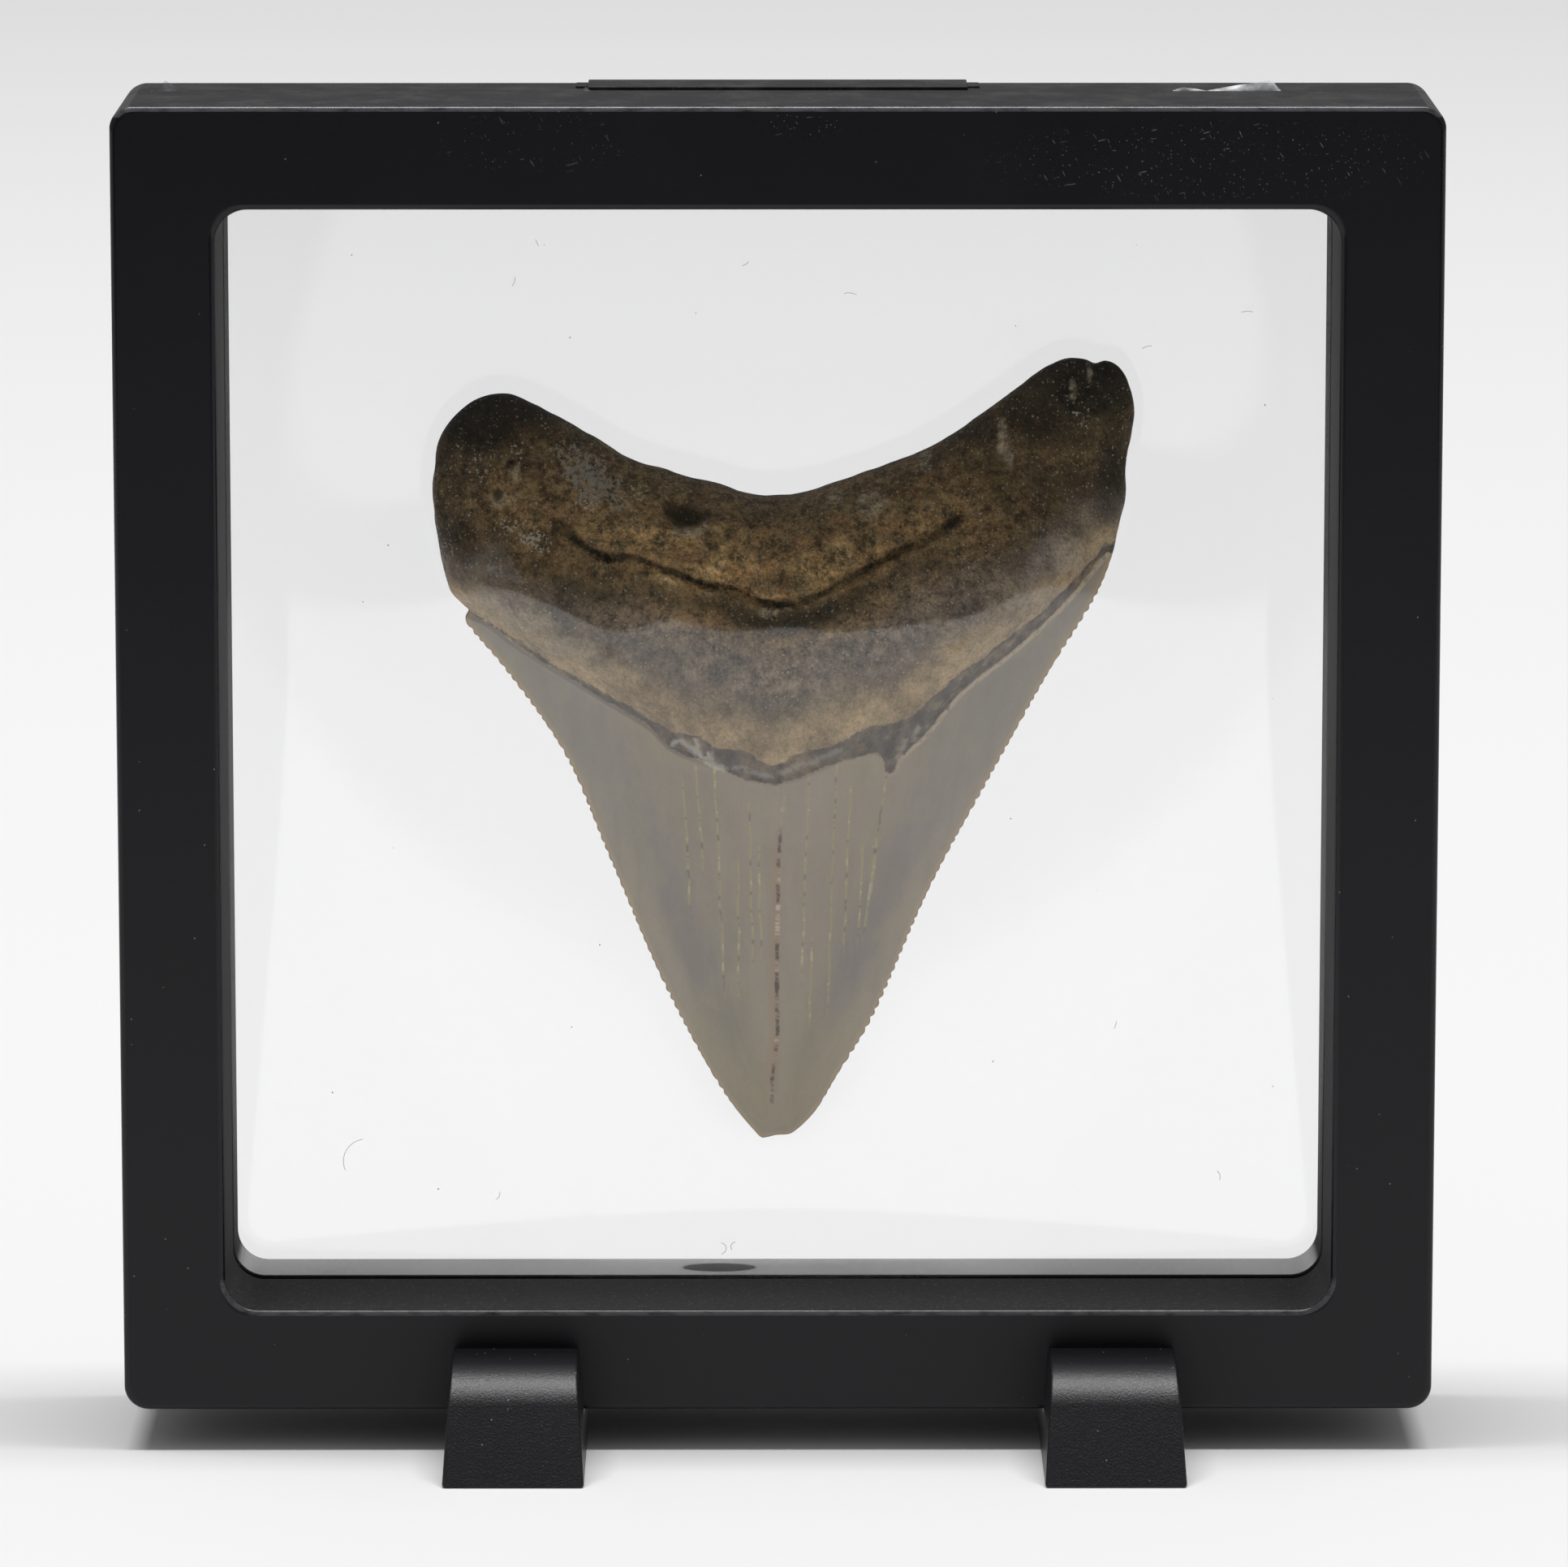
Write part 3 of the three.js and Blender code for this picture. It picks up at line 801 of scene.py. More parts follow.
# %% The outline
OUTLINE = [
    (-22.8, 63.8), (-18.1, 61.7), (-12.2, 58.3), (-6.3, 56.5), (-0.4, 55.2), (6.0, 56.7),
    (12.8, 59.4), (18.7, 63.3), (22.6, 66.2), (24.4, 66.9), (25.8, 66.7), (26.6, 66.4),
    (27.5, 66.6), (28.6, 66.2), (29.5, 64.6), (29.9, 61.9), (29.4, 58.3), (28.9, 53.3),
    (27.3, 47.8), (22.8, 40.1), (17.8, 31.0), (13.0, 22.0), (7.8, 10.1), (5.1, 5.6),
    (3.2, 2.4), (1.9, 1.0), (1.1, 0.4), (0.7, 0.3), (-0.2, 0.24), (-1.0, 0.05),
    (-1.4, 0.03), (-2.0, 0.6), (-4.5, 3.8), (-9.4, 12.8), (-14.4, 24.6), (-18.1, 33.3),
    (-23.4, 40.9), (-25.6, 43.5), (-26.3, 44.5), (-26.3, 44.9), (-26.0, 45.5), (-26.5, 46.0),
    (-27.6, 47.2), (-28.6, 51.9), (-29.1, 56.0), (-28.0, 60.8), (-25.2, 63.4),
]
RIM_STEP = 0.19
outline = smooth_path(OUTLINE, RIM_STEP, closed=True)
outline[:, 0] += tooth_low.x - outline[:, 0].min()
outline[:, 1] -= outline[:, 1].min()
print(f"outline {len(outline)} points, {np.ptp(outline[:, 0]):.1f} x {np.ptp(outline[:, 1]):.1f} mm")

# %% [markdown]
# ## The lines on the tooth
#
# A shark tooth has a clear anatomy on the side that faced the tongue. The enamel of the crown ends
# in a deep chevron. Above it lies the bourlette, a dark band that is widest in the middle, and
# above that the root swells out. A groove crosses the root where its nutrient vessels ran. Each
# line is a curve through a few places, and the shape and the colour of the tooth both follow it.

# %% Anatomy of the front
ENAMEL_END = [
    (-27.5, 45.6), (-24.3, 44.4), (-22.6, 43.1), (-20.8, 41.9), (-17.9, 40.3), (-13.8, 38.0),
    (-10.7, 36.3), (-8.8, 34.6), (-6.5, 33.7), (-4.0, 32.8), (-1.0, 31.8), (0.9, 32.0),
    (3.5, 33.0), (6.1, 34.0), (8.4, 34.1), (9.0, 32.5), (9.5, 32.3), (10.3, 33.7), (12.3, 35.5),
    (15.3, 39.0), (19.7, 42.3), (23.8, 45.9), (27.6, 50.3),
]
BAND_TOP = [
    (-27.5, 46.2), (-22.6, 43.7), (-18.0, 40.8), (-12.3, 38.1), (-8.8, 36.2), (-6.5, 35.8),
    (-5.3, 34.9), (-2.4, 34.7), (-1.0, 33.5), (0.4, 33.6), (1.2, 34.3), (4.4, 35.1), (7.9, 36.8),
    (11.0, 37.5), (14.5, 40.4), (17.2, 42.3), (20.7, 44.8), (23.8, 47.3), (27.6, 51.3),
]
GROOVE = [
    (-20.4, 54.9), (-18.3, 53.7), (-17.0, 52.4), (-14.4, 51.0), (-12.2, 51.0), (-8.9, 49.9),
    (-6.3, 48.9), (-3.7, 48.5), (-1.3, 47.4), (0.9, 47.4), (2.8, 47.7), (5.0, 48.8),
    (7.2, 50.0), (9.1, 50.9), (11.3, 51.9), (13.0, 52.7), (15.0, 54.0), (16.9, 55.4),
]
MAIN_CRACK = [
    (0.7, 31.8), (0.3, 28.6), (0.1, 25.5), (0.0, 21.0), (-0.1, 13.5), (-0.05, 9.8), (-0.45, 5.9),
    (-0.5, 3.4),
]
BACK_ENAMEL_END = [
    (-27.5, 45.6), (-22, 44.6), (-15, 42.3), (-8, 40.2), (0, 39.2), (8, 40.6), (15, 43.2),
    (22, 46.9), (27.6, 50.1),
]
LINE_STEP = 0.25
enamel_end = smooth_path(ENAMEL_END, LINE_STEP)
band_top = smooth_path(BAND_TOP, LINE_STEP)
groove = smooth_path(GROOVE, LINE_STEP)
main_crack = smooth_path(MAIN_CRACK, LINE_STEP)
back_enamel_end = smooth_path(BACK_ENAMEL_END, LINE_STEP)
for name, line in (("enamel line", enamel_end), ("groove", groove), ("crack", main_crack)):
    print(f"{name} {len(line) * LINE_STEP:.0f} mm long")

# %% [markdown]
# ## Measuring from points to lines
#
# Three measures do most of the work. The distance to a line says how near a groove is. The side of
# the line says whether a point is enamel or root. The distance in from the rim says how far the
# flank has risen. Each is worked out for all the points at once, one stretch of line at a time.

# %% Distances and lumps
LATTICE = 128


def to_line(points, line, closed=False):
    """Each point's distance to a line."""
    ends = np.roll(line, -1, axis=0) if closed else line[1:]
    nearest = np.full(len(points), np.inf)
    for start, end in zip(line, ends):
        run = end - start
        gap = points - start
        share = np.clip(gap @ run / (run @ run), 0, 1)
        gap -= share[:, None] * run
        nearest = np.minimum(nearest, (gap**2).sum(axis=1))
    return np.sqrt(nearest)


def is_inside(points, loop):
    """Which points a closed loop holds: those from which a ray crosses it an odd number of times."""
    inside = np.zeros(len(points), bool)
    x, h = points.T
    for (x0, h0), (x1, h1) in zip(loop, np.roll(loop, -1, axis=0)):
        if h0 != h1:
            inside ^= ((h0 > h) != (h1 > h)) & (x < x0 + (x1 - x0) * (h - h0) / (h1 - h0))
    return inside


def over_line(points, line):
    """Each point's distance to a line that runs from left to right, negative below it."""
    side = np.sign(points[:, 1] - np.interp(points[:, 0], *line.T))
    return side * to_line(points, line)


def ease(value, low, high):
    """0 up to low, 1 from high on, and an S-curve between them."""
    share = np.clip((value - low) / (high - low), 0, 1)
    return share * share * (3 - 2 * share)


def ridge(away, width):
    """1 on a line and a soft fall to nothing on both sides of it."""
    return np.exp(-((away / width) ** 2))


def lumps(points, size, seed, octaves=1):
    """Smooth random heights from -1 to 1, with lumps about size across and smaller ones on them."""
    total = np.zeros(len(points))
    for octave in range(octaves):
        lattice = np.random.default_rng(seed + octave).uniform(-1, 1, (LATTICE, LATTICE))
        cell = points * 2**octave / size
        corner = np.floor(cell).astype(int)
        share = cell - corner
        u, v = (share**3 * (share * (share * 6 - 15) + 10)).T
        i, j = (corner % LATTICE).T
        k, m = (i + 1) % LATTICE, (j + 1) % LATTICE
        low = lattice[i, j] * (1 - u) + lattice[k, j] * u
        high = lattice[i, m] * (1 - u) + lattice[k, m] * u
        total += (low * (1 - v) + high * v) * 0.5**octave
    return total


def dents(points, places):
    """Round dents: x, h, radius and depth of each, and how high the rim round it stands."""
    height = np.zeros(len(points))
    for x, h, radius, depth, rim in places:
        reach = np.hypot(points[:, 0] - x, points[:, 1] - h) / radius
        height -= depth * np.exp(-(reach**4))
        height += rim * ridge(reach - 1.25, 0.3)
    return height


print("measuring helpers ready")

# %% [markdown]
# ## The relief of the tooth
#
# Down the middle the tooth swells from the tip to a crest just under the groove, and the root above
# it falls back. Across it, the crown is a broad plateau with soft shoulders and a thin flat blade
# along each cutting edge, and the root is rounded like a thumb. On top of that come the steps and
# marks: the enamel's fine raised lip, the sunk band, the root's rolled margin, the groove with its
# sharp lower lip, pits, holes, and the lumps and grain of old bone.

# %% Sizes of the relief
FRONT_SWELL = [
    (0, 0.9), (8, 3.2), (20, 5.5), (30, 7.1), (38, 8.1), (47.5, 8.9), (52.5, 8.3), (60, 5.9),
    (67, 4.6),
]
CREST = {"drop": 1.0, "reach": 22}
CROWN_HALF = {"tip": 1.4, "per_height": 0.52, "most": 15}
SOFT_RIM = 1.5
ROOT_ROUND = 9
SIDE_LOSS = 0.36
ENAMEL_LIP = 0.07
BAND_SUNK = 0.16
MARGIN_ROLL = 0.22
GROOVE_DEPTH = 1.15
GROOVE_LIP = 0.18
CRACK_DEPTH = 0.14
# Each pit: x, h, radius, depth and the height of the rim round it.
BIG_PIT = [
    (-9.1, 54.6, 0.62, 0.5, 0.0), (-8.0, 54.0, 0.85, 0.8, 0.04), (-6.9, 54.0, 0.55, 0.6, 0.03),
    (-5.9, 54.2, 0.4, 0.3, 0.0),
]
ROUND_HOLES = [(-23.4, 55.8, 0.48, 0.8, 0.10), (-22.3, 58.4, 0.32, 0.6, 0.05)]
SMALL_PITS = [
    (-6.3, 56.0, 0.3, 0.4, 0.05), (20.2, 58.1, 0.22, 0.3, 0.05), (16.9, 54.5, 0.35, 0.25, 0.10),
    (11.5, 44.9, 0.2, 0.2, 0.03), (-23.7, 49.6, 0.35, 0.25, 0.06), (-0.9, 46.9, 0.55, 0.35, 0.12),
    (5.1, 55.5, 0.3, 0.2, 0.05), (-14.8, 48.0, 0.5, 0.2, 0.0),
]


print(f"{len(FRONT_SWELL)} knots down the middle, "
      f"{len(ROUND_HOLES + BIG_PIT + SMALL_PITS)} pits and holes")


# %% The profile along and across
def swelling(height, knots):
    """The profile of the tooth down its middle, through a few knots of height and thickness."""
    return np.interp(height, *smooth_path(knots, 0.5).T)


def crown_share(inward, height):
    """How far across its blade a point of the crown is: 0 at the cutting edge, 1 on the plateau."""
    half = np.minimum(CROWN_HALF["tip"] + CROWN_HALF["per_height"] * height, CROWN_HALF["most"])
    return np.clip(inward / half, 0, 1)


def quarter_round(inward, radius):
    """0 at the rim and 1 from radius on, round like the edge of a thumb."""
    return np.sqrt(1 - (1 - np.clip(inward / radius, 0, 1)) ** 2)


print("blade at 10 mm up:", np.round(crown_share(np.array([1.0, 3.0, 6.0]), 10), 2))


# %% The groove, the pits and the crack
def groove_relief(points):
    """The groove, sharper below than above, the hollow it lies in and its broken lower lip."""
    to_groove = over_line(points, groove) + 0.22 * lumps(points, 1.6, 11, 2)
    fade = ease(points[:, 0], -21.5, -15) * (1 - ease(points[:, 0], 14, 17.5))
    deep = GROOVE_DEPTH * (0.55 + 0.45 * lumps(points, 3.0, 21))
    width = np.where(to_groove > 0, 0.60, 0.28) * (1 + 0.35 * lumps(points, 1.9, 161))
    lip = GROOVE_LIP * ridge(to_groove + 0.6, 0.4) * (1 + lumps(points, 0.8, 151))
    return fade * (lip - deep * ridge(to_groove, width) - 0.22 * ridge(to_groove, 1.8))


def front_marks(points, over_enamel):
    """The groove, pits, lumps and cracks."""
    bone = ease(over_enamel, 0.8, 3)
    enamel = 1 - ease(over_enamel, -0.3, 0.1)
    height = groove_relief(points)
    height += bone * (0.20 * lumps(points, 4.5, 31, 3) + 0.10 * lumps(points, 0.62, 41, 2))
    height += bone * dents(points, ROUND_HOLES + BIG_PIT + SMALL_PITS)
    height += enamel * 0.05 * lumps(points * (1, 0.10), 2.6, 51, 2)
    crack = to_line(points, main_crack) + 0.05 * lumps(points, 0.7, 61)
    uneven = 0.6 + 0.4 * lumps(points, 2.0, 71)
    return height - enamel * CRACK_DEPTH * ridge(crack, 0.16) * uneven


print(f"groove {GROOVE_DEPTH} mm deep at most")


# %% Relief of the front
def front_relief(points, inward):
    """How far the front face stands over the middle plane. inward is the distance from the rim."""
    x, h = points.T
    over_enamel = over_line(points, enamel_end)
    over_band = over_line(points, band_top)
    root = ease(over_enamel, -1, 4.5)
    across = crown_share(inward, h)
    blade = 0.42 * (1 - (1 - across) ** 1.6) + 0.58 * ease(across, 0.02, 0.9)
    thumb = quarter_round(inward, ROOT_ROUND)
    side = 1 - SIDE_LOSS * root * (x / HALF_TOOTH) ** 2 * (1 + 0.8 * ease(h, 42, 58))
    crest_drop = CREST["drop"] * ease(abs(x), 0, CREST["reach"])
    height = swelling(h + crest_drop, FRONT_SWELL) * side * (blade + (thumb - blade) * root)
    in_band = ease(over_enamel, 0, 0.25) * ease(-over_band, 0, 0.25)
    margin = ease(over_band, -0.1, 1.2) * (1 - ease(over_band, 2, 5))
    steps = ENAMEL_LIP * ridge(over_enamel + 0.12, 0.14) - BAND_SUNK * in_band + MARGIN_ROLL * margin
    soft = np.clip(inward / SOFT_RIM, 0, 1)
    return height + soft * (steps + front_marks(points, over_enamel))


probe = np.array([(0.0, 20.0), (0.0, 43.8), (0.0, 50.0), (-20.0, 56.0)])
probe_in = to_line(probe, outline[::4], closed=True)
print("front relief", np.round(front_relief(probe, probe_in), 2))

# %% [markdown]
# The side that faced the lip is flatter. Its enamel runs higher, in a shallow chevron with no band
# above it, and the root beyond has the same bony skin.

# %% Relief of the back
BACK_SWELL = [(0, 0.6), (8, 1.4), (25, 2.4), (45, 3.5), (67, 3.3)]
BACK_ROOT_ROUND = 5
BACK_STEP = 0.22
BACK_PITS = [(-12, 50.5, 0.4, 0.4, 0.05), (3.5, 48.2, 0.5, 0.5, 0.05), (17, 55, 0.35, 0.4, 0.05)]


def back_relief(points, inward):
    """How far the back face stands behind the middle plane."""
    over_enamel = over_line(points, back_enamel_end)
    root = ease(over_enamel, -2, 7)
    bone = ease(over_enamel, 0, 1.2)
    blade = 1 - (1 - crown_share(inward, points[:, 1])) ** 2.6
    thumb = quarter_round(inward, BACK_ROOT_ROUND)
    height = swelling(points[:, 1], BACK_SWELL) * (blade + (thumb - blade) * root)
    rough = 0.18 * lumps(points, 4.0, 81, 3) + 0.06 * lumps(points, 0.6, 91, 2)
    rough += dents(points, BACK_PITS)
    smooth = 0.04 * lumps(points * (1, 0.12), 2.4, 101, 2)
    edge = ease(over_enamel, -0.15, 0.35) * (1 - ease(over_enamel, 2, 7))
    soft = np.clip(inward / SOFT_RIM, 0, 1)
    return height + soft * (bone * rough + (1 - bone) * smooth - BACK_STEP * edge)


print("back relief", np.round(back_relief(probe, probe_in), 2))

# %% [markdown]
# ## The tooth's mesh
#
# Both faces share one triangulation. Its border is the outline with the serrations cut in: small
# rounded teeth with sharp notches between them, a little under a millimetre apart and uneven, and
# only along the crown. Inside lie two rows of points close to the border, which hold the thin edge,
# and then an even triangular grid. A Delaunay triangulation joins them, and the front and the back
# are two copies of it that meet at the rim, so the solid is closed.

# %% Cut the serrations
SERRATION_PITCH = 0.87
SERRATION_DEPTH = 0.15


def outward_normals(loop):
    """The direction square to the outline at each of its points, away from the tooth."""
    run = np.roll(loop, -1, axis=0) - np.roll(loop, 1, axis=0)
    normal = np.column_stack([-run[:, 1], run[:, 0]])
    return normal / np.linalg.norm(normal, axis=1)[:, None]


def serrated(loop):
    """The outline with serrations on the crown and a slight waver on the root."""
    along = np.arange(len(loop)) * RIM_STEP
    crown = ease(-over_line(loop, enamel_end), 0.2, 1.5) * ease(loop[:, 1], 1.5, 5)
    uneven = lumps(np.column_stack([along, np.full(len(loop), 3.3)]), 2.2, 111, 2)
    phase = along / SERRATION_PITCH + 0.35 * uneven
    teeth = np.abs(np.cos(math.pi * phase)) - 0.75
    depth = SERRATION_DEPTH * (1 + 0.7 * uneven)
    waver = 0.10 * lumps(loop, 2.4, 121, 2) * (1 - crown) * ease(loop[:, 1], 3, 6)
    return loop + outward_normals(loop) * (crown * depth * teeth + waver)[:, None]


rim = serrated(outline)
plain = outline[::4]
print(f"rim {len(rim)} points, {len(rim) * RIM_STEP:.0f} mm round")

# %% Triangulate one face
GRID_STEP = 0.26
GRID_JITTER = 0.05
EDGE_ROWS = (0.16, 0.34)
GRID_MARGIN = 0.5


def triangular_grid(step):
    low, high = outline.min(axis=0), outline.max(axis=0)
    rows = np.arange(low[1], high[1], step * math.sqrt(3) / 2)
    columns = np.arange(low[0], high[0], step)
    x, h = np.meshgrid(columns, rows)
    x = x + (np.arange(len(rows)) % 2)[:, None] * step / 2
    return np.column_stack([x.ravel(), h.ravel()])


def face_mesh():
    """Places of one face, which given point each came from, and the triangles between them."""
    normal = outward_normals(outline)
    near, far = EDGE_ROWS
    grid = triangular_grid(GRID_STEP)
    grid = grid[is_inside(grid, plain)]
    grid = grid[to_line(grid, plain, closed=True) > GRID_MARGIN]
    grid += np.random.default_rng(7).uniform(-GRID_JITTER, GRID_JITTER, grid.shape)
    points = np.vstack([rim, outline - near * normal, (outline - far * normal)[::2], grid])
    border = [(i, (i + 1) % len(rim)) for i in range(len(rim))]
    made = delaunay_2d_cdt([Vector(p) for p in points], border, [], 1, 1e-5)
    places = np.array([tuple(v) for v in made[0]])
    came_from = [came[0] if came else -1 for came in made[3]]
    return places, came_from, np.array([list(f) for f in made[2]])


placed, came_from, triangles = face_mesh()
print(f"{len(placed)} points and {len(triangles)} triangles on each face")

# %% [markdown]
# ## Masks on the tooth
#
# The finish needs to know where it is: how far from the cutting edge, above or below the enamel
# line, near the groove, in a stain. Those are worked out by formula for every point of the mesh and
# kept as named values, which the material reads. Stains are soft ovals, and the material breaks
# their edges up with noise. Some dark ovals along the groove are painted shade, and the broad pale
# ovals low on the left flank are painted highlights.

# %% Stains and masks
STAINS = {
    # Dark stains, and dark ovals along the groove that are painted shade.
    "dark_stain": [
        (-25.0, 61.9, 3.2, 2.6, 1.0), (-20.5, 62.7, 3.5, 1.8, 0.7), (26.0, 64.7, 3.6, 3.2, 0.9),
        (23.0, 61.5, 4.0, 3.0, 0.6), (21.0, 57.2, 4.5, 2.6, 0.5), (-15.0, 48.2, 2.6, 1.4, 0.4),
        (-7.6, 54.1, 2.2, 1.1, 0.6), (28.0, 57.3, 1.6, 5.0, 0.5), (-4.3, 38.3, 0.9, 0.7, 0.5),
        (16.0, 60.8, 4.0, 1.2, 0.5), (0.5, 48.9, 3.4, 1.1, 0.5), (-8.0, 51.0, 4.0, 0.8, 0.35),
        (9.0, 52.6, 3.0, 0.9, 0.35), (4.0, 53.0, 1.6, 0.9, 0.3),
    ],
    "grey_scale": [
        (-16.2, 57.6, 1.8, 1.6, 1.0), (-15.0, 56.3, 2.2, 1.4, 0.9), (-17.7, 59.2, 1.6, 1.0, 0.7),
        (-13.4, 55.3, 1.2, 0.8, 0.7), (12.4, 58.5, 1.5, 1.0, 0.6), (-23.7, 49.6, 0.8, 0.6, 0.8),
    ],
    "white_specks": [
        (-20.5, 52.4, 1.5, 0.8, 1.0), (-22.5, 53.3, 1.3, 0.8, 0.8), (-19.9, 51.8, 1.0, 0.6, 0.9),
        (-25.0, 58.1, 1.5, 2.0, 0.6), (-26.5, 59.8, 0.6, 0.8, 0.6), (-12.2, 55.8, 1.6, 1.6, 0.5),
        (-16.0, 55.0, 1.3, 0.7, 0.7), (-28.0, 51.3, 0.7, 2.0, 0.6), (25.0, 62.5, 1.4, 2.4, 0.5),
        (16.8, 54.5, 0.7, 0.8, 0.7), (-21.8, 59.3, 0.6, 0.9, 0.7), (22.0, 54.8, 1.5, 1.5, 0.4),
        (-5.0, 51.8, 4.0, 1.4, 0.3), (4.0, 50.9, 3.2, 1.3, 0.35), (9.5, 56.0, 3.0, 1.3, 0.35),
    ],
    # Pale stains; the broad ovals low on the left flank are painted highlights on the root's margin.
    "pale_stain": [
        (7.8, 54.9, 1.5, 1.2, 0.8), (4.8, 55.5, 1.0, 0.8, 0.7), (18.8, 60.3, 0.5, 1.6, 0.9),
        (19.4, 58.8, 0.45, 0.9, 1.0), (24.7, 64.3, 0.4, 1.3, 0.7), (26.1, 65.8, 0.3, 1.0, 0.7),
        (-0.9, 46.6, 0.8, 0.5, 1.0), (-7.4, 53.0, 1.5, 0.32, 1.3), (-6.0, 53.6, 0.3, 0.6, 1.0),
        (-23.3, 55.4, 0.9, 0.7, 0.9), (-22.0, 57.8, 0.6, 1.2, 0.7), (-21.9, 45.4, 3.4, 1.2, 0.9),
        (-17.7, 43.2, 3.0, 1.1, 1.0), (-14.0, 41.1, 2.5, 0.9, 0.7), (-24.5, 46.7, 2.2, 1.0, 0.8),
        (20.6, 47.6, 3.4, 1.5, 0.7), (15.1, 44.1, 3.0, 1.5, 0.6), (24.5, 50.9, 2.0, 1.6, 0.8),
        (16.8, 49.3, 2.0, 1.0, 0.5),
    ],
}
CURLS = [
    [(-8.9, 34.9), (-8.2, 35.4), (-7.5, 35.0), (-6.8, 34.3), (-6.1, 33.8), (-5.3, 33.4),
     (-4.4, 33.1)],
    [(-3.6, 33.2), (-2.4, 32.9), (-1.4, 32.6), (-0.4, 32.4)],
    [(0.4, 32.8), (1.4, 33.2), (2.6, 33.6), (3.9, 34.1), (5.4, 34.8)],
    [(-6.6, 34.4), (-6.7, 35.1), (-6.9, 35.6)], [(-5.6, 33.8), (-5.7, 34.4)],
    [(9.7, 33.5), (10.3, 34.1), (10.7, 35.2)], [(11.4, 35.2), (11.7, 36.4)],
]


def ovals(points, places):
    """Soft ovals: x, h, half width, half height and strength of each. The strongest one counts."""
    total = np.zeros(len(points))
    for x, h, across, up, strength in places:
        reach = ((points[:, 0] - x) / across) ** 2 + ((points[:, 1] - h) / up) ** 2
        total = np.maximum(total, strength * np.exp(-0.7 * reach**1.4))
    return total


print("stains", {name: len(places) for name, places in STAINS.items()})


# %% Masks of each face
NO_CRACK = 9.0
CRACK_TOP = 31.5
BACK_STAIN = 0.6


def shared_masks(points, inward, over_enamel):
    """What both faces have: the edge, the enamel line and the crack."""
    crack = np.where(points[:, 1] < CRACK_TOP, to_line(points, main_crack), NO_CRACK)
    return {"edge": inward, "over_enamel": over_enamel, "crack": crack}


def front_masks(points, inward):
    over_enamel = over_line(points, enamel_end)
    over_band = over_line(points, band_top)
    found = shared_masks(points, inward, over_enamel)
    found |= {name: ovals(points, places) for name, places in STAINS.items()}
    rag = 0.14 * lumps(points, 0.9, 131, 2)
    found["front"] = np.ones(len(points))
    found["over_band"] = over_band
    found["band"] = ease(over_enamel + rag, -0.1, 0.12) * ease(-over_band + rag, -0.12, 0.12)
    open_part = ease(points[:, 0], -21, -17) * (1 - ease(points[:, 0], 14.5, 17))
    # Painted shade along the lower side of the groove, put in with the dark stains.
    below = ridge(over_line(points, groove) + 1.5, 1.5) * open_part
    below *= 0.45 + 0.55 * ridge(points[:, 0] - 1, 7)
    found["dark_stain"] = np.maximum(found["dark_stain"], 0.75 * below)
    near = np.maximum(0.44 + 0.26 * lumps(points, 2.4, 171, 2), 0.16)
    found["in_groove"] = ridge(to_line(points, groove), near) * open_part
    curl = np.minimum.reduce([to_line(points, smooth_path(line, 0.2)) for line in CURLS])
    found["curl"] = 1 - ease(curl + 0.10 * lumps(points, 0.6, 141), 0.14, 0.30)
    holes = [(x, h, radius * 1.15, 1, 0) for x, h, radius, _, _ in ROUND_HOLES + BIG_PIT]
    found["pit"] = np.clip(-dents(points, holes), 0, 1)
    return found


def back_masks(points, inward):
    """The stains are mirrored and weaker, and the front's own lines are left out."""
    over_enamel = over_line(points, back_enamel_end)
    found = shared_masks(points, inward, over_enamel) | {"over_band": over_enamel}
    for name, places in STAINS.items():
        mirrored = [(-x, *rest) for x, *rest in places]
        found[name] = BACK_STAIN * ovals(points, mirrored)
    for name in ("front", "band", "in_groove", "curl", "pit"):
        found[name] = np.zeros(len(points))
    return found


# %% Assemble the tooth
THINNEST = 0.02
on_rim = np.array([0 <= source < len(rim) for source in came_from])
inside = ~on_rim
inward = to_line(placed, plain, closed=True) * is_inside(placed, plain)
inward[on_rim] = 0
front_height = np.maximum(front_relief(placed, inward), THINNEST) * inside
back_height = np.maximum(back_relief(placed, inward), THINNEST) * inside

x, h = placed.T
front_side = np.column_stack([x, SEAM_Y - front_height, TIP_Z + h])
back_side = np.column_stack([x, SEAM_Y + back_height, TIP_Z + h])[inside]
back_index = np.where(on_rim, np.arange(len(placed)), len(placed) + np.cumsum(inside) - 1)
tooth_points = np.vstack([front_side, back_side])
tooth_faces = np.vstack([triangles, back_index[triangles][:, ::-1]])
on_front = front_masks(placed, inward)
on_back = back_masks(placed[inside], inward[inside])
print(f"relief {front_height.max():.1f} mm in front and {back_height.max():.1f} mm behind")
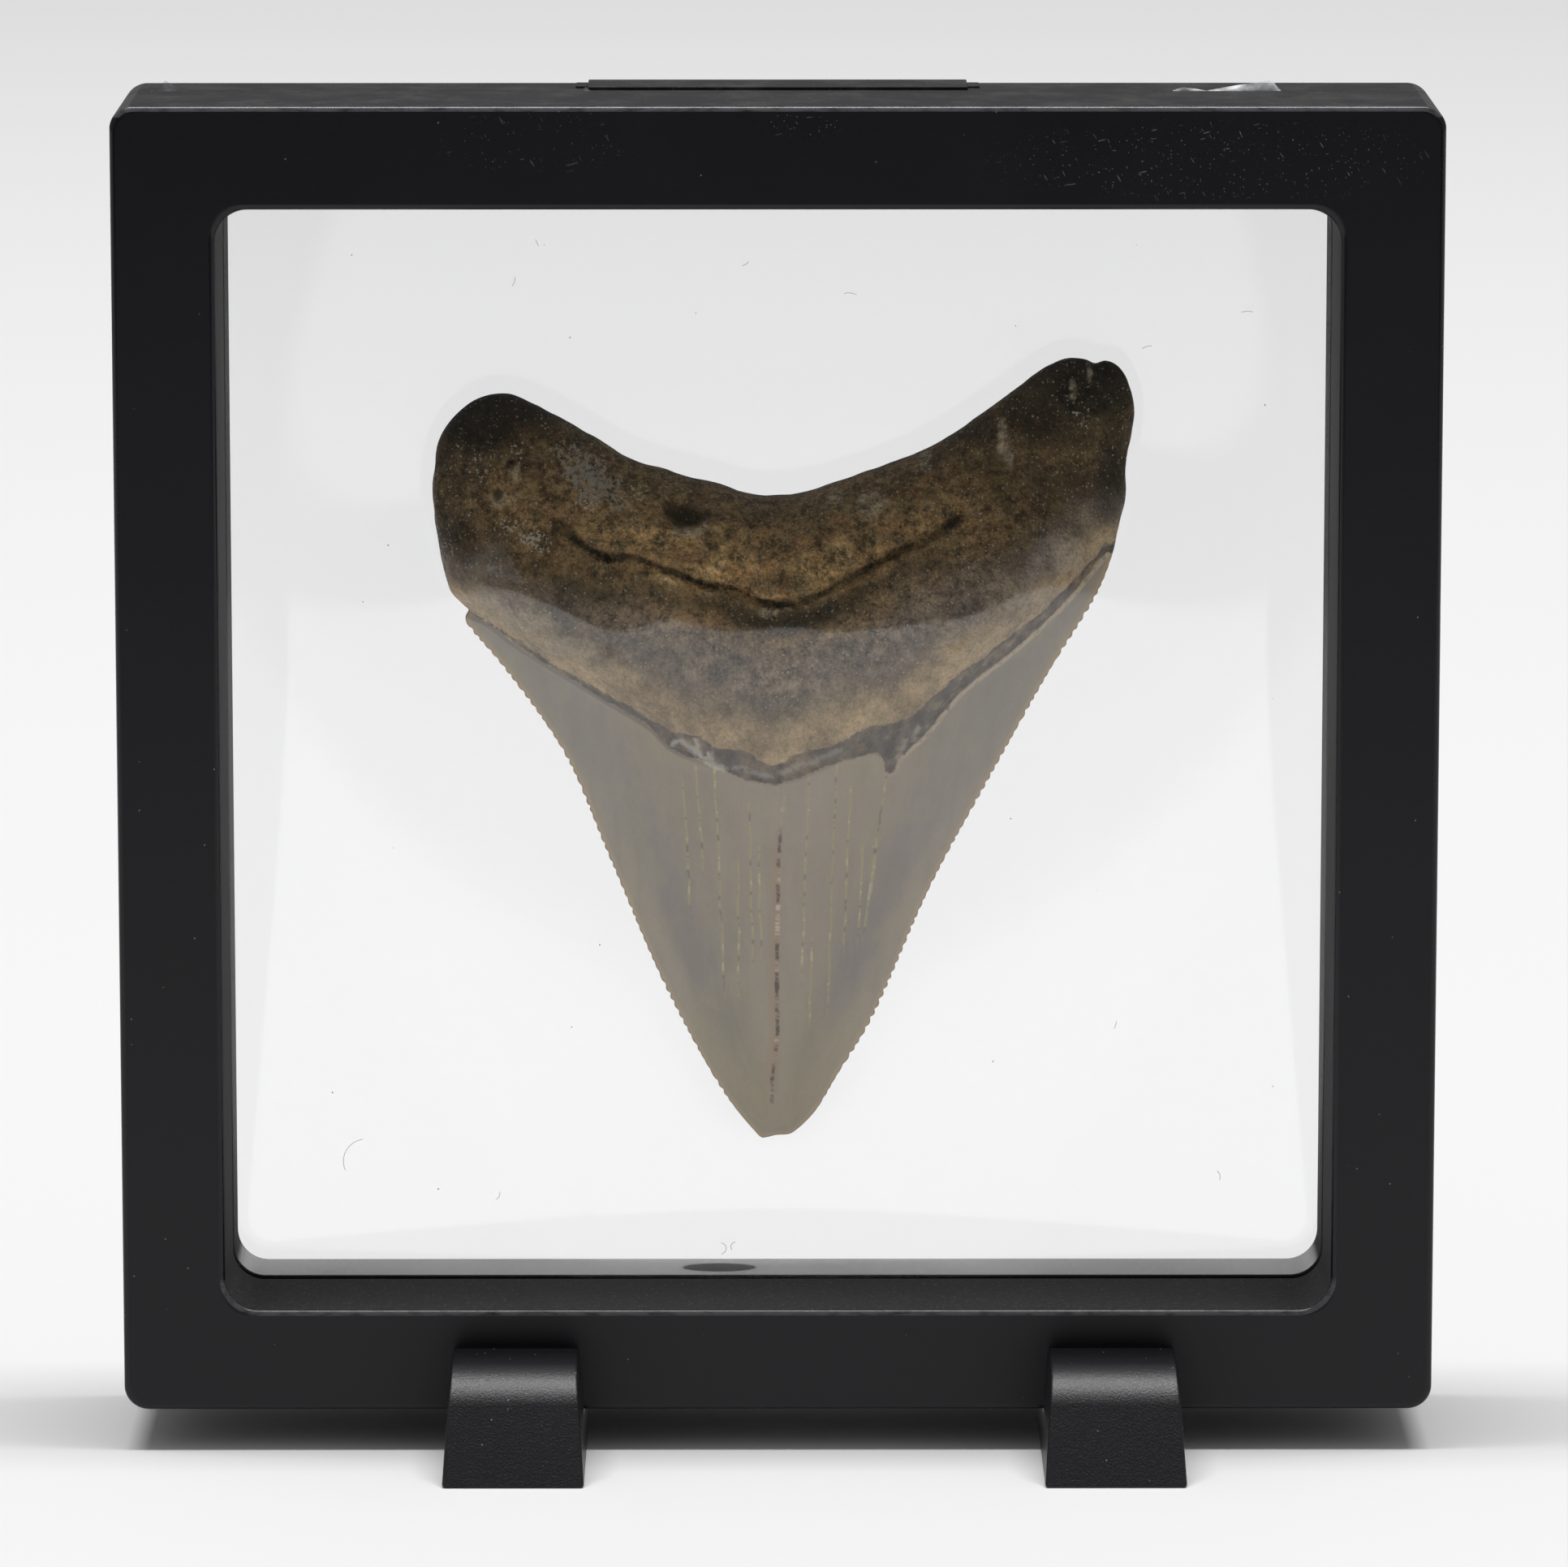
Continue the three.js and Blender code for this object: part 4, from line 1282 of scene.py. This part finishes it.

# %% [markdown]
# ## Fossil enamel and fossil bone
#
# Enamel and bone took up minerals from the mud for millions of years. The enamel is a smooth warm
# grey, with bluish shoulders, a beige cutting edge, fine upright growth cracks that have filled
# with ochre, and one open crack down the middle; a band of painted shade runs down each flank. The
# bone is a mottled dark brown with ochre, grey scale, white specks and tiny painted glints, and it
# pales to tan towards the enamel. It also carries painted shade near its rim and along the groove,
# and painted highlights on its lower left margin. One material holds both and switches at the
# enamel line, because on the tooth they are one skin too.

# %% Enamel colour
# Each crack: x at its top, x at its foot, and the heights of its top and its foot.
FINE_CRACKS = [
    (-7.9, -7.4, 31.1, 20.4), (-6.8, -6.3, 32.6, 24.0), (-5.3, -4.5, 33.2, 13.3),
    (-3.3, -3.3, 24.8, 13.4), (-2.4, -2.1, 29.8, 16.0), (2.6, 2.0, 32.3, 14.8),
    (4.9, 4.2, 32.8, 12.0), (6.1, 5.6, 31.1, 17.6), (9.1, 7.3, 31.9, 18.3),
    (-1.6, -1.4, 26.0, 17.0), (2.9, 2.6, 17.5, 10.5), (7.2, 6.8, 25.5, 18.0),
    (8.4, 7.9, 26.0, 22.0),
]
ENAMEL = {
    "warm grey": (0.405, 0.342, 0.262),
    "cool grey": (0.372, 0.322, 0.250),
    "shoulder_shade": (0.300, 0.262, 0.228),
    "bluish": (0.300, 0.282, 0.262),
    "olive": (0.440, 0.378, 0.240),
    "fleck": (0.330, 0.300, 0.200),
    "cutting edge": (0.560, 0.420, 0.255),
    "ochre": (0.480, 0.415, 0.200),
    "pale ochre": (0.640, 0.560, 0.360),
    "dark line": (0.190, 0.165, 0.100),
}


def fine_cracks(finish, sideways, height):
    """How strongly a fine crack shows: upright lines that waver, each between two heights."""
    waver = (finish.noise(2.5, 3, finish.place((0.15, 0.15, 1))) - 0.5) * 0.5
    lines = []
    for top_x, low_x, top, low in FINE_CRACKS:
        lean = (top_x - low_x) / (top - low)
        away = abs(sideways + waver - (height * lean + (low_x - low * lean)))
        ends = height.rise(low - 2, low + 2) * height.fall(top, top + 1)
        lines.append(away.fall(0.04, 0.15) * ends)
    return most_of(lines)


def enamel_colour(finish, height):
    """Warm grey, with painted shade on the shoulders, olive towards the tip and beige at the edge."""
    cloud = finish.noise(7, 4)
    streaks = finish.noise(1.1, 4, finish.place((1, 1, 0.05)))
    edge = finish.mask("edge")
    tone = finish.mix(cloud.rise(0.35, 0.65), ENAMEL["warm grey"], ENAMEL["cool grey"])
    # A band of painted shade along each flank, where the crown turns away from the light.
    shoulder_shade = edge.rise(1.2, 3.0) * edge.fall(3.6, 6.5) * height.fall(24, 34) * height.rise(3, 8)
    tone = finish.mix(shoulder_shade * (0.65 + 0.5 * cloud), tone, ENAMEL["shoulder_shade"])
    bluish = edge.rise(0.3, 1.2) * edge.fall(3.5, 7.0) * height.rise(18, 32)
    tone = finish.mix(bluish * 0.45, tone, ENAMEL["bluish"])
    olive = height.fall(6, 16) * 0.65 + finish.noise(5, 2).rise(0.5, 0.7) * 0.3
    tone = finish.mix(olive, tone, ENAMEL["olive"])
    flecked = finish.noise(1.6, 7, finish.place((1, 1, 0.5)), roughness=0.75)
    tone = finish.mix(flecked.rise(0.50, 0.66) * 0.30, tone, ENAMEL["fleck"])
    fine = finish.noise(0.35, 4, roughness=0.7)
    tone = finish.shade(0.78 + 0.24 * streaks + 0.20 * fine, tone)
    return finish.mix(edge.fall(0.10, 0.55) * 0.8, tone, ENAMEL["cutting edge"])


def fill_fine_cracks(finish, tone, sideways, height):
    """Mostly ochre, in dashes: paler in the fullest parts and dark where the fill is lost."""
    cracks = fine_cracks(finish, sideways, height)
    dashes = finish.noise(0.9, 3, finish.place((0.3, 0.3, 1)))
    tone = finish.mix(cracks * dashes.rise(0.38, 0.50) * 0.9, tone, ENAMEL["ochre"])
    tone = finish.mix(cracks * dashes.rise(0.58, 0.63) * 0.8, tone, ENAMEL["pale ochre"])
    return finish.mix(cracks * dashes.fall(0.36, 0.44) * 0.6, tone, ENAMEL["dark line"])


print(f"{len(FINE_CRACKS)} fine cracks and {len(ENAMEL)} enamel tones")

# %% The open crack
CRACK = {
    "rust": (0.415, 0.290, 0.180),
    "filled": (0.470, 0.390, 0.215),
    "core": (0.050, 0.040, 0.032),
    "chip": (0.700, 0.580, 0.450),
}


def crack_colour(finish, tone, sideways, height):
    """A rusty halo, more to its left, a dark core in places, pale chips, and a filled upper end."""
    crack = finish.mask("crack") + (finish.noise(0.8, 4) - 0.5) * 0.35
    left = sideways.fall(-0.1, 0.3)
    halo = crack.fall(0.15, 1.05) * (0.30 + 0.6 * left) * height.fall(24, 30) * height.rise(2.5, 7)
    tone = finish.mix(halo, tone, CRACK["rust"])
    upright = finish.noise(1.3, 4, finish.place((0.25, 0.25, 1)), roughness=0.65)
    filled = crack.fall(0.05, 0.18) * height.rise(26.5, 28.5) * upright.rise(0.40, 0.50)
    tone = finish.mix(filled * 0.8, tone, CRACK["filled"])
    core = crack.fall(0.06, 0.24) * upright.rise(0.44, 0.55) * height.rise(2.5, 4.5)
    tone = finish.mix(core * height.fall(26.5, 28.5), tone, CRACK["core"])
    chips = crack.fall(0.08, 0.26) * upright.fall(0.36, 0.44) * height.fall(28.5, 30.5)
    return finish.mix(chips * 0.9, tone, CRACK["chip"])


print(f"{len(CRACK)} crack tones")

# %% Bone colour
BONE_RAMP = [
    (0.30, (0.090, 0.066, 0.032)), (0.43, (0.175, 0.119, 0.053)), (0.52, (0.235, 0.156, 0.067)),
    (0.61, (0.290, 0.193, 0.085)), (0.74, (0.400, 0.305, 0.165)),
]
NECK = [(0.190, 0.160, 0.132), (0.390, 0.305, 0.215)]
MARGIN = [(0.430, 0.315, 0.180), (0.740, 0.550, 0.315)]
BONE = {
    "rust": (0.215, 0.108, 0.045),
    "olive": (0.062, 0.050, 0.024),
    "stain": (0.016, 0.015, 0.008),
    "rim": (0.024, 0.019, 0.010),
    "pale": (0.560, 0.455, 0.310),
}


def root_colour(finish, sideways):
    """Mottled brown with rust and olive, lightest in the heart of the root over the groove."""
    over_band = finish.mask("over_band")
    mottle = finish.noise(2.6, 9, roughness=0.74)
    tone = finish.node("ValToRGB", {"stops": BONE_RAMP}, {0: mottle})
    rust = finish.noise(2.1, 6, roughness=0.65).rise(0.48, 0.62)
    tone = finish.mix(rust * 0.42, tone, BONE["rust"])
    heart = over_band.rise(9, 14) * abs(sideways + 1).fall(9, 23)
    under_groove = over_band.rise(6, 9) * over_band.fall(10, 14)
    tone = finish.shade(0.80 + 1.75 * heart + 0.60 * under_groove, tone)
    olive = finish.noise(1.5, 7, roughness=0.72).rise(0.52, 0.62)
    return finish.mix(olive * 0.45, tone, BONE["olive"])


def bone_colour(finish, sideways):
    """The root's brown pales to the grey neck and the tan margin. Dark and pale stains lie over it,
    with painted shade near the rim and by the groove, and painted highlights on the margin.
    """
    ragged = (finish.noise(0.9, 6, roughness=0.7) - 0.5) * 1.1
    spread = 1 + 0.9 * abs(sideways).rise(10, 26)
    over_band = finish.mask("over_band") * spread + ragged * 3
    patches = finish.noise(3.0, 7, roughness=0.68).rise(0.34, 0.66)
    tone = root_colour(finish, sideways)
    tone = finish.mix(over_band.fall(6.0, 11.5) * 0.9, tone, finish.mix(patches, *NECK))
    tone = finish.mix(over_band.fall(1.5, 5.0) * 0.85, tone, finish.mix(patches, *MARGIN))
    # Dark stains, with painted shade along the groove.
    dark = (finish.mask("dark_stain") + ragged * 0.8).rise(0.12, 0.78)
    tone = finish.mix(dark * 0.88, tone, BONE["stain"])
    # Painted shade along the root's rounded rim, where its face turns away from the light.
    rim_shade = finish.mask("edge").fall(0.6, 6.0) * over_band.rise(6, 10)
    tone = finish.mix((rim_shade + ragged * 0.3) * 0.6, tone, BONE["rim"])
    # Pale stains, and painted highlights on the root's lower margin.
    pale = (finish.mask("pale_stain") + ragged * 0.9).rise(0.25, 1.0)
    return finish.mix(pale * 0.7, tone, BONE["pale"])


print(f"{len(BONE_RAMP)} steps in the bone's mottling")

# %% [markdown]
# The bone's small marks come on top: pores and clumps that lighten and darken it, blackish blotches
# on the root, grey scale and white specks where they were named, the painted shadow in the groove
# and the pits, and glints, which are pale specks painted as highlights. Where a glint lies, the bone
# is less rough too.

# %% Marks on the bone
MARKS = {
    "blotch": (0.050, 0.040, 0.022),
    "grey scale": (0.400, 0.375, 0.310),
    "white": (0.620, 0.570, 0.450),
    "glint": (0.660, 0.570, 0.420),
    "groove": (0.014, 0.013, 0.007),
    "pit": (0.030, 0.027, 0.013),
}


def mottled(finish, tone):
    """Fine grain and clumps, stronger on the root than near the enamel, and dark blotches."""
    old = finish.mask("over_band").rise(2, 8)
    fine = finish.noise(0.28, 5, roughness=0.75).rise(0.30, 0.70) - 0.5
    clumps = finish.noise(0.9, 5, roughness=0.7).rise(0.32, 0.68) - 0.5
    tone = finish.shade(1.0 + fine * (0.45 + 0.45 * old) + clumps * (0.40 + 0.60 * old), tone)
    blotches = finish.noise(1.3, 8, roughness=0.78).fall(0.40, 0.47)
    upper = finish.mask("over_band").rise(6, 11)
    return finish.mix(blotches * upper * 0.55, tone, MARKS["blotch"])


def scattered_glints(finish):
    glints = specks(finish, 0.42, 0.40, 0.27) + specks(finish, 0.29, 0.35, 0.27)
    return glints * finish.noise(1.4, 4).rise(0.32, 0.52) * (1 - 0.6 * finish.mask("dark_stain"))


def bone_marks(finish, tone, glints):
    """Grey scale, white specks, glints and the dark of the groove and the pits."""
    tone = mottled(finish, tone)
    broken = finish.noise(0.45, 6, roughness=0.75) - 0.5
    grey = (finish.mask("grey_scale") * 0.8 + broken * 3.6).rise(0.45, 0.75)
    tone = finish.mix(grey * 0.8, tone, MARKS["grey scale"])
    flecks = (finish.mask("white_specks") + (finish.noise(0.28, 3) - 0.5) * 3.4).rise(0.80, 1.05)
    tone = finish.mix(flecks * 0.85, tone, MARKS["white"])
    # Glints: pale specks painted as highlights.
    tone = finish.mix(glints * 0.75, tone, MARKS["glint"])
    hollow = finish.mask("in_groove") + broken * 2.2
    uneven = 0.55 + 0.45 * finish.noise(2.2, 3).rise(0.35, 0.60)
    tone = finish.mix(hollow.rise(0.45, 1.0) * uneven, tone, MARKS["groove"])
    holes = finish.mask("pit") + broken * 2.0
    return finish.mix(holes.rise(0.30, 1.20) * 0.8, tone, MARKS["pit"])


print("marks:", ", ".join(MARKS))

# %% [markdown]
# Between the enamel and the bone lies the dark band. The enamel ends there in a fine lip, which is
# chipped and pale on the right and stained on the left, and pale curls of old tissue still cling to
# the band.

# %% Band, lip and curls
BAND = [(0.075, 0.068, 0.070), (0.165, 0.147, 0.138)]
LIP = {"chipped": (0.600, 0.480, 0.340), "stained": (0.130, 0.100, 0.070)}
CURL_TONE = (0.700, 0.640, 0.560)


def band_and_lip(finish, tone, sideways):
    band_tone = finish.mix(finish.noise(1.0, 5).rise(0.35, 0.65), *BAND)
    worn = 0.88 - 0.3 * finish.noise(1.5, 4).rise(0.4, 0.65)
    tone = finish.mix(finish.mask("band").rise(0.25, 0.8) * worn, tone, band_tone)
    lip = abs(finish.mask("over_enamel") + 0.18).fall(0.10, 0.30) * finish.mask("front")
    chipped = lip * sideways.rise(8, 12) * finish.noise(0.5, 4).rise(0.36, 0.50)
    tone = finish.mix(chipped * 0.9, tone, LIP["chipped"])
    tone = finish.mix(lip * sideways.fall(-9, -4) * 0.5, tone, LIP["stained"])
    curl = finish.mask("curl") * finish.noise(0.6, 4).rise(0.30, 0.46)
    return finish.mix(curl * (0.9 - 0.5 * sideways.rise(-4.5, -3.5)), tone, CURL_TONE)


print(f"{len(CURLS)} curls on the band")


# %% Make the tooth
SKIN_DEPTH = 0.13
ENAMEL_ROUGHNESS = 0.40
BONE_ROUGHNESS = 0.58
GLINT_SHINE = 0.35


def fossil_finish():
    fossil = Finish("fossil_tooth")
    sideways, _, above = fossil.axes()
    height = above - TIP_Z
    rag = (fossil.noise(0.5, 3) - 0.5) * 0.35
    is_bone = (fossil.mask("over_enamel") + rag).rise(-0.06, 0.10)
    glints = scattered_glints(fossil)

    enamel = fill_fine_cracks(fossil, enamel_colour(fossil, height), sideways, height)
    enamel = crack_colour(fossil, enamel, sideways, height)
    bone = bone_marks(fossil, bone_colour(fossil, sideways), glints)
    tone = band_and_lip(fossil, fossil.mix(is_bone, enamel, bone), sideways)

    skin = fossil.noise(0.12, 3, roughness=0.7) + 2 * fossil.noise(0.35, 3)
    skin = skin + 3 * fossil.noise(0.8, 5, roughness=0.7)
    roughness = fossil.node("Mix", {"data_type": "FLOAT"},
                            {0: is_bone, 2: ENAMEL_ROUGHNESS, 3: BONE_ROUGHNESS})
    return fossil.principled({"Base Color": tone,
                              "Roughness": roughness - GLINT_SHINE * glints * is_bone,
                              "Normal": fossil.bump(skin, SKIN_DEPTH, is_bone),
                              "Specular IOR Level": 0.45})


tooth = add_piece("fossil_tooth", tooth_points, tooth_faces, [fossil_finish()], "fossil", "tooth")
for name, values in on_front.items():
    kept = np.concatenate([values, on_back[name]]).astype(np.float32)
    tooth.data.attributes.new(name, "FLOAT", "POINT").data.foreach_set("value", kept)
print("masks:", ", ".join(on_front))

# %% [markdown]
# ## The clear films
#
# A film is clamped round the window and pulled tight over the tooth. A tight skin is as flat as
# what it lies on allows: every free point sits at the average of its neighbours, and no point sinks
# into the tooth. Working that rule over a grid again and again settles it. A coarse grid is settled
# first and then refined, because a fine grid alone takes thousands of rounds to feel its edges.

# %% Settle a tight film
FILM_LEVELS = (24, 48, 96, 192)
FILM_SWEEPS = (300, 200, 160, 140)
FILM_CLEARANCE = 0.2
FILM_APART = 0.03
SOFT_ROUNDS = {"tooth": 16, "film": 40}


def grid_places(cells):
    """Places (x, h) of a square grid over the whole film."""
    line = np.linspace(-FILM_HALF, FILM_HALF, cells + 1)
    x, z = np.meshgrid(line, line)
    return np.column_stack([x.ravel(), z.ravel() + MIDDLE_Z - TIP_Z])


def highest_near(values):
    """Each place takes the highest value of itself and its eight neighbours."""
    padded = np.pad(values, 1, mode="edge")
    n, m = values.shape
    return np.max([padded[i:i + n, j:j + m] for i in range(3) for j in range(3)], axis=0)


def tooth_under(cells, relief):
    """How far the tooth stands out under each place of the grid."""
    points = grid_places(cells)
    height = np.zeros(len(points))
    inside = is_inside(points, plain)
    within = points[inside]
    height[inside] = relief(within, to_line(within, plain, closed=True)) + FILM_CLEARANCE
    square = height.reshape(cells + 1, cells + 1)
    return np.maximum(square, 0)


def refined(lift):
    """The same film on a grid of half the step."""
    n = len(lift)
    old, new = np.arange(n), np.linspace(0, n - 1, 2 * n - 1)
    rows = np.array([np.interp(new, old, row) for row in lift])
    return np.array([np.interp(new, old, column) for column in rows.T]).T


def neighbour_mean(values):
    """The mean of the four neighbours of each inner place."""
    around = values[:-2, 1:-1] + values[2:, 1:-1] + values[1:-1, :-2] + values[1:-1, 2:]
    return around / 4


def softened(values, rounds):
    """The grid with each inner place drawn halfway to its neighbours' mean, again and again."""
    for _ in range(rounds):
        mean = neighbour_mean(values)
        values = values.copy()
        values[1:-1, 1:-1] = (values[1:-1, 1:-1] + mean) / 2
    return values


def settle(lift, under, sweeps):
    """Relaxes the free places in place, like the squares of a chessboard: one colour, then the other."""
    rows, columns = np.indices(under[1:-1, 1:-1].shape)
    inner = lift[1:-1, 1:-1]
    for _ in range(sweeps):
        for odd in (0, 1):
            turn = (rows + columns) % 2 == odd
            tight = np.maximum(neighbour_mean(lift), under[1:-1, 1:-1])
            inner[turn] = tight[turn]


def settled_film(relief):
    """How far a film stands off the seam, on the finest grid."""
    finest = softened(highest_near(tooth_under(FILM_LEVELS[-1], relief)), SOFT_ROUNDS["tooth"])
    lift = None
    for cells, sweeps in zip(FILM_LEVELS, FILM_SWEEPS):
        every = FILM_LEVELS[-1] // cells
        under = finest[::every, ::every]
        lift = under.copy() if lift is None else np.maximum(refined(lift), under)
        settle(lift, under, sweeps)
    return softened(lift, SOFT_ROUNDS["film"])


front_lift = settled_film(front_relief)
back_lift = settled_film(back_relief)
print(f"films stand {front_lift.max():.1f} mm and {back_lift.max():.1f} mm off the seam")

# %% [markdown]
# ## Film you can see through
#
# A film this thin doesn't bend light, so it needs no refraction: it lets most light straight
# through and mirrors a little, more at a glancing angle. A Fresnel node gives the share for one
# surface, and a film has two, so the share is nearly doubled. It mixes plain transparency with a
# mirror. Where the film was trimmed at the seam it is crumpled and milky, so those scraps have a
# second finish on the same sheet.

# %% Film finishes
FILM_IOR = 1.45
TWO_SURFACES = 1.9
MOST_MIRROR = 0.45


def clear_film_finish():
    film = Finish("clear_stretch_film")
    clear = film.node("BsdfTransparent", None, {"Color": (0.985, 0.985, 0.985)})
    mirror = film.node("BsdfGlossy", None, {"Color": (1, 1, 1), "Roughness": 0.075})
    share = (film.node("Fresnel", None, {"IOR": FILM_IOR}) * TWO_SURFACES).least(MOST_MIRROR)
    return film.surface(film.node("MixShader", None, {0: share, 1: clear, 2: mirror}))


def milky_film_finish():
    film = Finish("crumpled_film_edge")
    clear = film.node("BsdfTransparent", None, {"Color": (0.95, 0.95, 0.96)})
    milky_inputs = {"Base Color": (0.85, 0.86, 0.88), "Roughness": 0.35}
    milky = film.node("BsdfPrincipled", None, milky_inputs)
    share = film.noise(1.1, 3).rise(0.32, 0.68) * 0.5 + 0.2
    return film.surface(film.node("MixShader", None, {0: share, 1: clear, 2: milky}))


film_finishes = [clear_film_finish(), milky_film_finish()]
print("finishes", [finish.name for finish in film_finishes])

# %% [markdown]
# The trimmed scraps that stick out of the seam on top belong to the front film, so they are loose
# ribbons in its mesh. Each ribbon follows a short curve along the seam and stands up by a height
# that tapers to nothing, with a slight curl.

# %% Scraps of film at the seam
SCRAP_SUNK = 0.15
SCRAPS = [
    {"start": -51.7, "length": 2.2, "height": 0.9, "peak": 0.2, "curl": 0.3},
    {"start": -16.6, "length": 1.0, "height": 0.35, "peak": 0.5, "curl": 0.2},
    {"start": 33.0, "length": 3.0, "height": 0.30, "peak": 0.3, "curl": -0.2},
    {"start": 36.0, "length": 6.2, "height": 0.9, "peak": 0.88, "curl": -0.7},
]


def scrap_ribbon(scrap, steps=18, rows=5):
    """A ribbon that rises to its peak and tapers to both ends."""
    points, faces = [], []
    for i in range(steps + 1):
        share = i / steps
        tall = min(share / scrap["peak"], (1 - share) / (1 - scrap["peak"]))
        wave = 0.12 * math.sin(9 * share + scrap["start"])
        for j in range(rows + 1):
            up = j / rows
            lean = scrap["curl"] * up * up
            x = scrap["start"] + scrap["length"] * share + 0.3 * lean
            y = SEAM_Y + wave * up - 0.5 * lean
            points.append((x, y, TOP_Z - SCRAP_SUNK + up * (SCRAP_SUNK + scrap["height"] * tall)))
    for i in range(steps):
        for j in range(rows):
            a = i * (rows + 1) + j
            faces.append((a, a + rows + 1, a + rows + 2, a + 1))
    return points, faces


scrap_parts = [scrap_ribbon(scrap) for scrap in SCRAPS]
print(f"{len(scrap_parts)} scraps along the seam")


# %% Make both films
def film_sheet(lift, side):
    """side is -1 for the film in front and +1 for the one behind."""
    cells = FILM_LEVELS[-1]
    across = cells + 1
    x, h = grid_places(cells).T
    y = SEAM_Y + side * (FILM_APART + lift.ravel())
    start = (np.arange(cells)[:, None] * across + np.arange(cells)).ravel()
    faces = np.column_stack([start, start + 1, start + across + 1, start + across])
    outward = faces if side < 0 else faces[:, ::-1]
    return np.column_stack([x, y, h + TIP_Z]).tolist(), outward.tolist()


front_sheet = film_sheet(front_lift, -1)
front_film = add_piece("front_stretch_film", *joined([front_sheet] + scrap_parts), film_finishes,
                       "clear_film", "front_film")
for polygon in front_film.data.polygons[len(front_sheet[1]):]:
    polygon.material_index = 1
back_film = add_piece("back_stretch_film", *film_sheet(back_lift, 1), film_finishes[:1],
                      "clear_film", "back_film")

# %% [markdown]
# ## Fibres and specks on the film
#
# Stretch film draws dust. A few short hairs and grains lie on the front film. A hair is a thin
# tube round a wandering line, and a grain is a small uneven lump. Both sit on the film's own
# surface, whose height is read from the settled grid.

# %% Scatter hairs and grains
HAIRS = [
    (-36.8, 21.5, 3.6, 1.9, -0.5), (-4.8, 14.2, 1.4, 0.3, 2.0), (-3.9, 14.6, 0.9, 2.2, -2.5),
    (37.6, 20.6, 0.9, 1.2, 1.5), (-22.2, 97.3, 0.8, 0.9, 1.0), (6.6, 96.6, 1.1, 2.6, 0.8),
    (-3.0, 99.0, 0.7, 0.2, 1.2), (-20.0, 100.6, 0.6, 2.0, 0.0), (30.5, 92.0, 0.9, 0.7, -1.0),
    (39.8, 95.0, 1.0, 2.9, 0.6), (-24.0, 19.0, 0.8, 0.5, 1.6), (28.5, 34.0, 0.7, 1.1, 0.5),
]
HAIR_RADIUS = 0.022
GRAINS = 26
GRAIN_RADII = (0.03, 0.075)
DUSTY_HALF = 43


def film_y(x, z, lift):
    """Where the front film is, at a place on the window."""
    cells = len(lift) - 1
    column = (x + FILM_HALF) / (2 * FILM_HALF) * cells
    row = (z - MIDDLE_Z + FILM_HALF) / (2 * FILM_HALF) * cells
    i, j = int(column), int(row)
    u, v = column - i, row - j
    low = lift[j, i] * (1 - u) + lift[j, i + 1] * u
    high = lift[j + 1, i] * (1 - u) + lift[j + 1, i + 1] * u
    return SEAM_Y - FILM_APART - (low * (1 - v) + high * v)


def hair(x, z, length, turn, bend, steps=14, sides=5):
    """A thin tube that starts at x, z, heads along turn and keeps bending."""
    points, faces = [], []
    step = length / steps
    for _ in range(steps + 1):
        y = film_y(x, z, front_lift) - HAIR_RADIUS
        for side in range(sides):
            spin = 2 * math.pi * side / sides
            out = HAIR_RADIUS * math.cos(spin)
            lift = HAIR_RADIUS * math.sin(spin)
            points.append((x - math.sin(turn) * out, y + lift, z + math.cos(turn) * out))
        x += step * math.cos(turn)
        z += step * math.sin(turn)
        turn += bend * step
    for i in range(steps):
        for side in range(sides):
            a, b = i * sides + side, i * sides + (side + 1) % sides
            faces.append((a, a + sides, b + sides, b))
    faces.append(tuple(range(sides)))
    faces.append(tuple(reversed(range(steps * sides, (steps + 1) * sides))))
    return points, faces


def dust_grain(x, z, radius, rng):
    """A small uneven ball, flattened against the film."""
    ball = bmesh.new()
    bmesh.ops.create_icosphere(ball, subdivisions=2, radius=radius)
    y = film_y(x, z, front_lift) - 0.5 * radius
    for vertex in ball.verts:
        vertex.co *= 1 + rng.uniform(-0.25, 0.25)
        vertex.co = Vector((x + vertex.co.x, y + 0.5 * vertex.co.y, z + vertex.co.z))
    return mesh_lists(ball)


def lint_finish():
    lint = Finish("grey_lint")
    tone = lint.mix(lint.noise(0.3, 2), (0.42, 0.42, 0.44), (0.66, 0.66, 0.67))
    return lint.principled({"Base Color": tone, "Roughness": 0.8})


dust_rng = np.random.default_rng(19)
dust_parts = [hair(*place) for place in HAIRS]
for _ in range(GRAINS):
    x = dust_rng.uniform(-DUSTY_HALF, DUSTY_HALF)
    z = dust_rng.uniform(MIDDLE_Z - DUSTY_HALF, MIDDLE_Z + DUSTY_HALF)
    dust_parts.append(dust_grain(x, z, dust_rng.uniform(*GRAIN_RADII), dust_rng))
add_piece("film_lint", *joined(dust_parts), [lint_finish()], "clear_film")
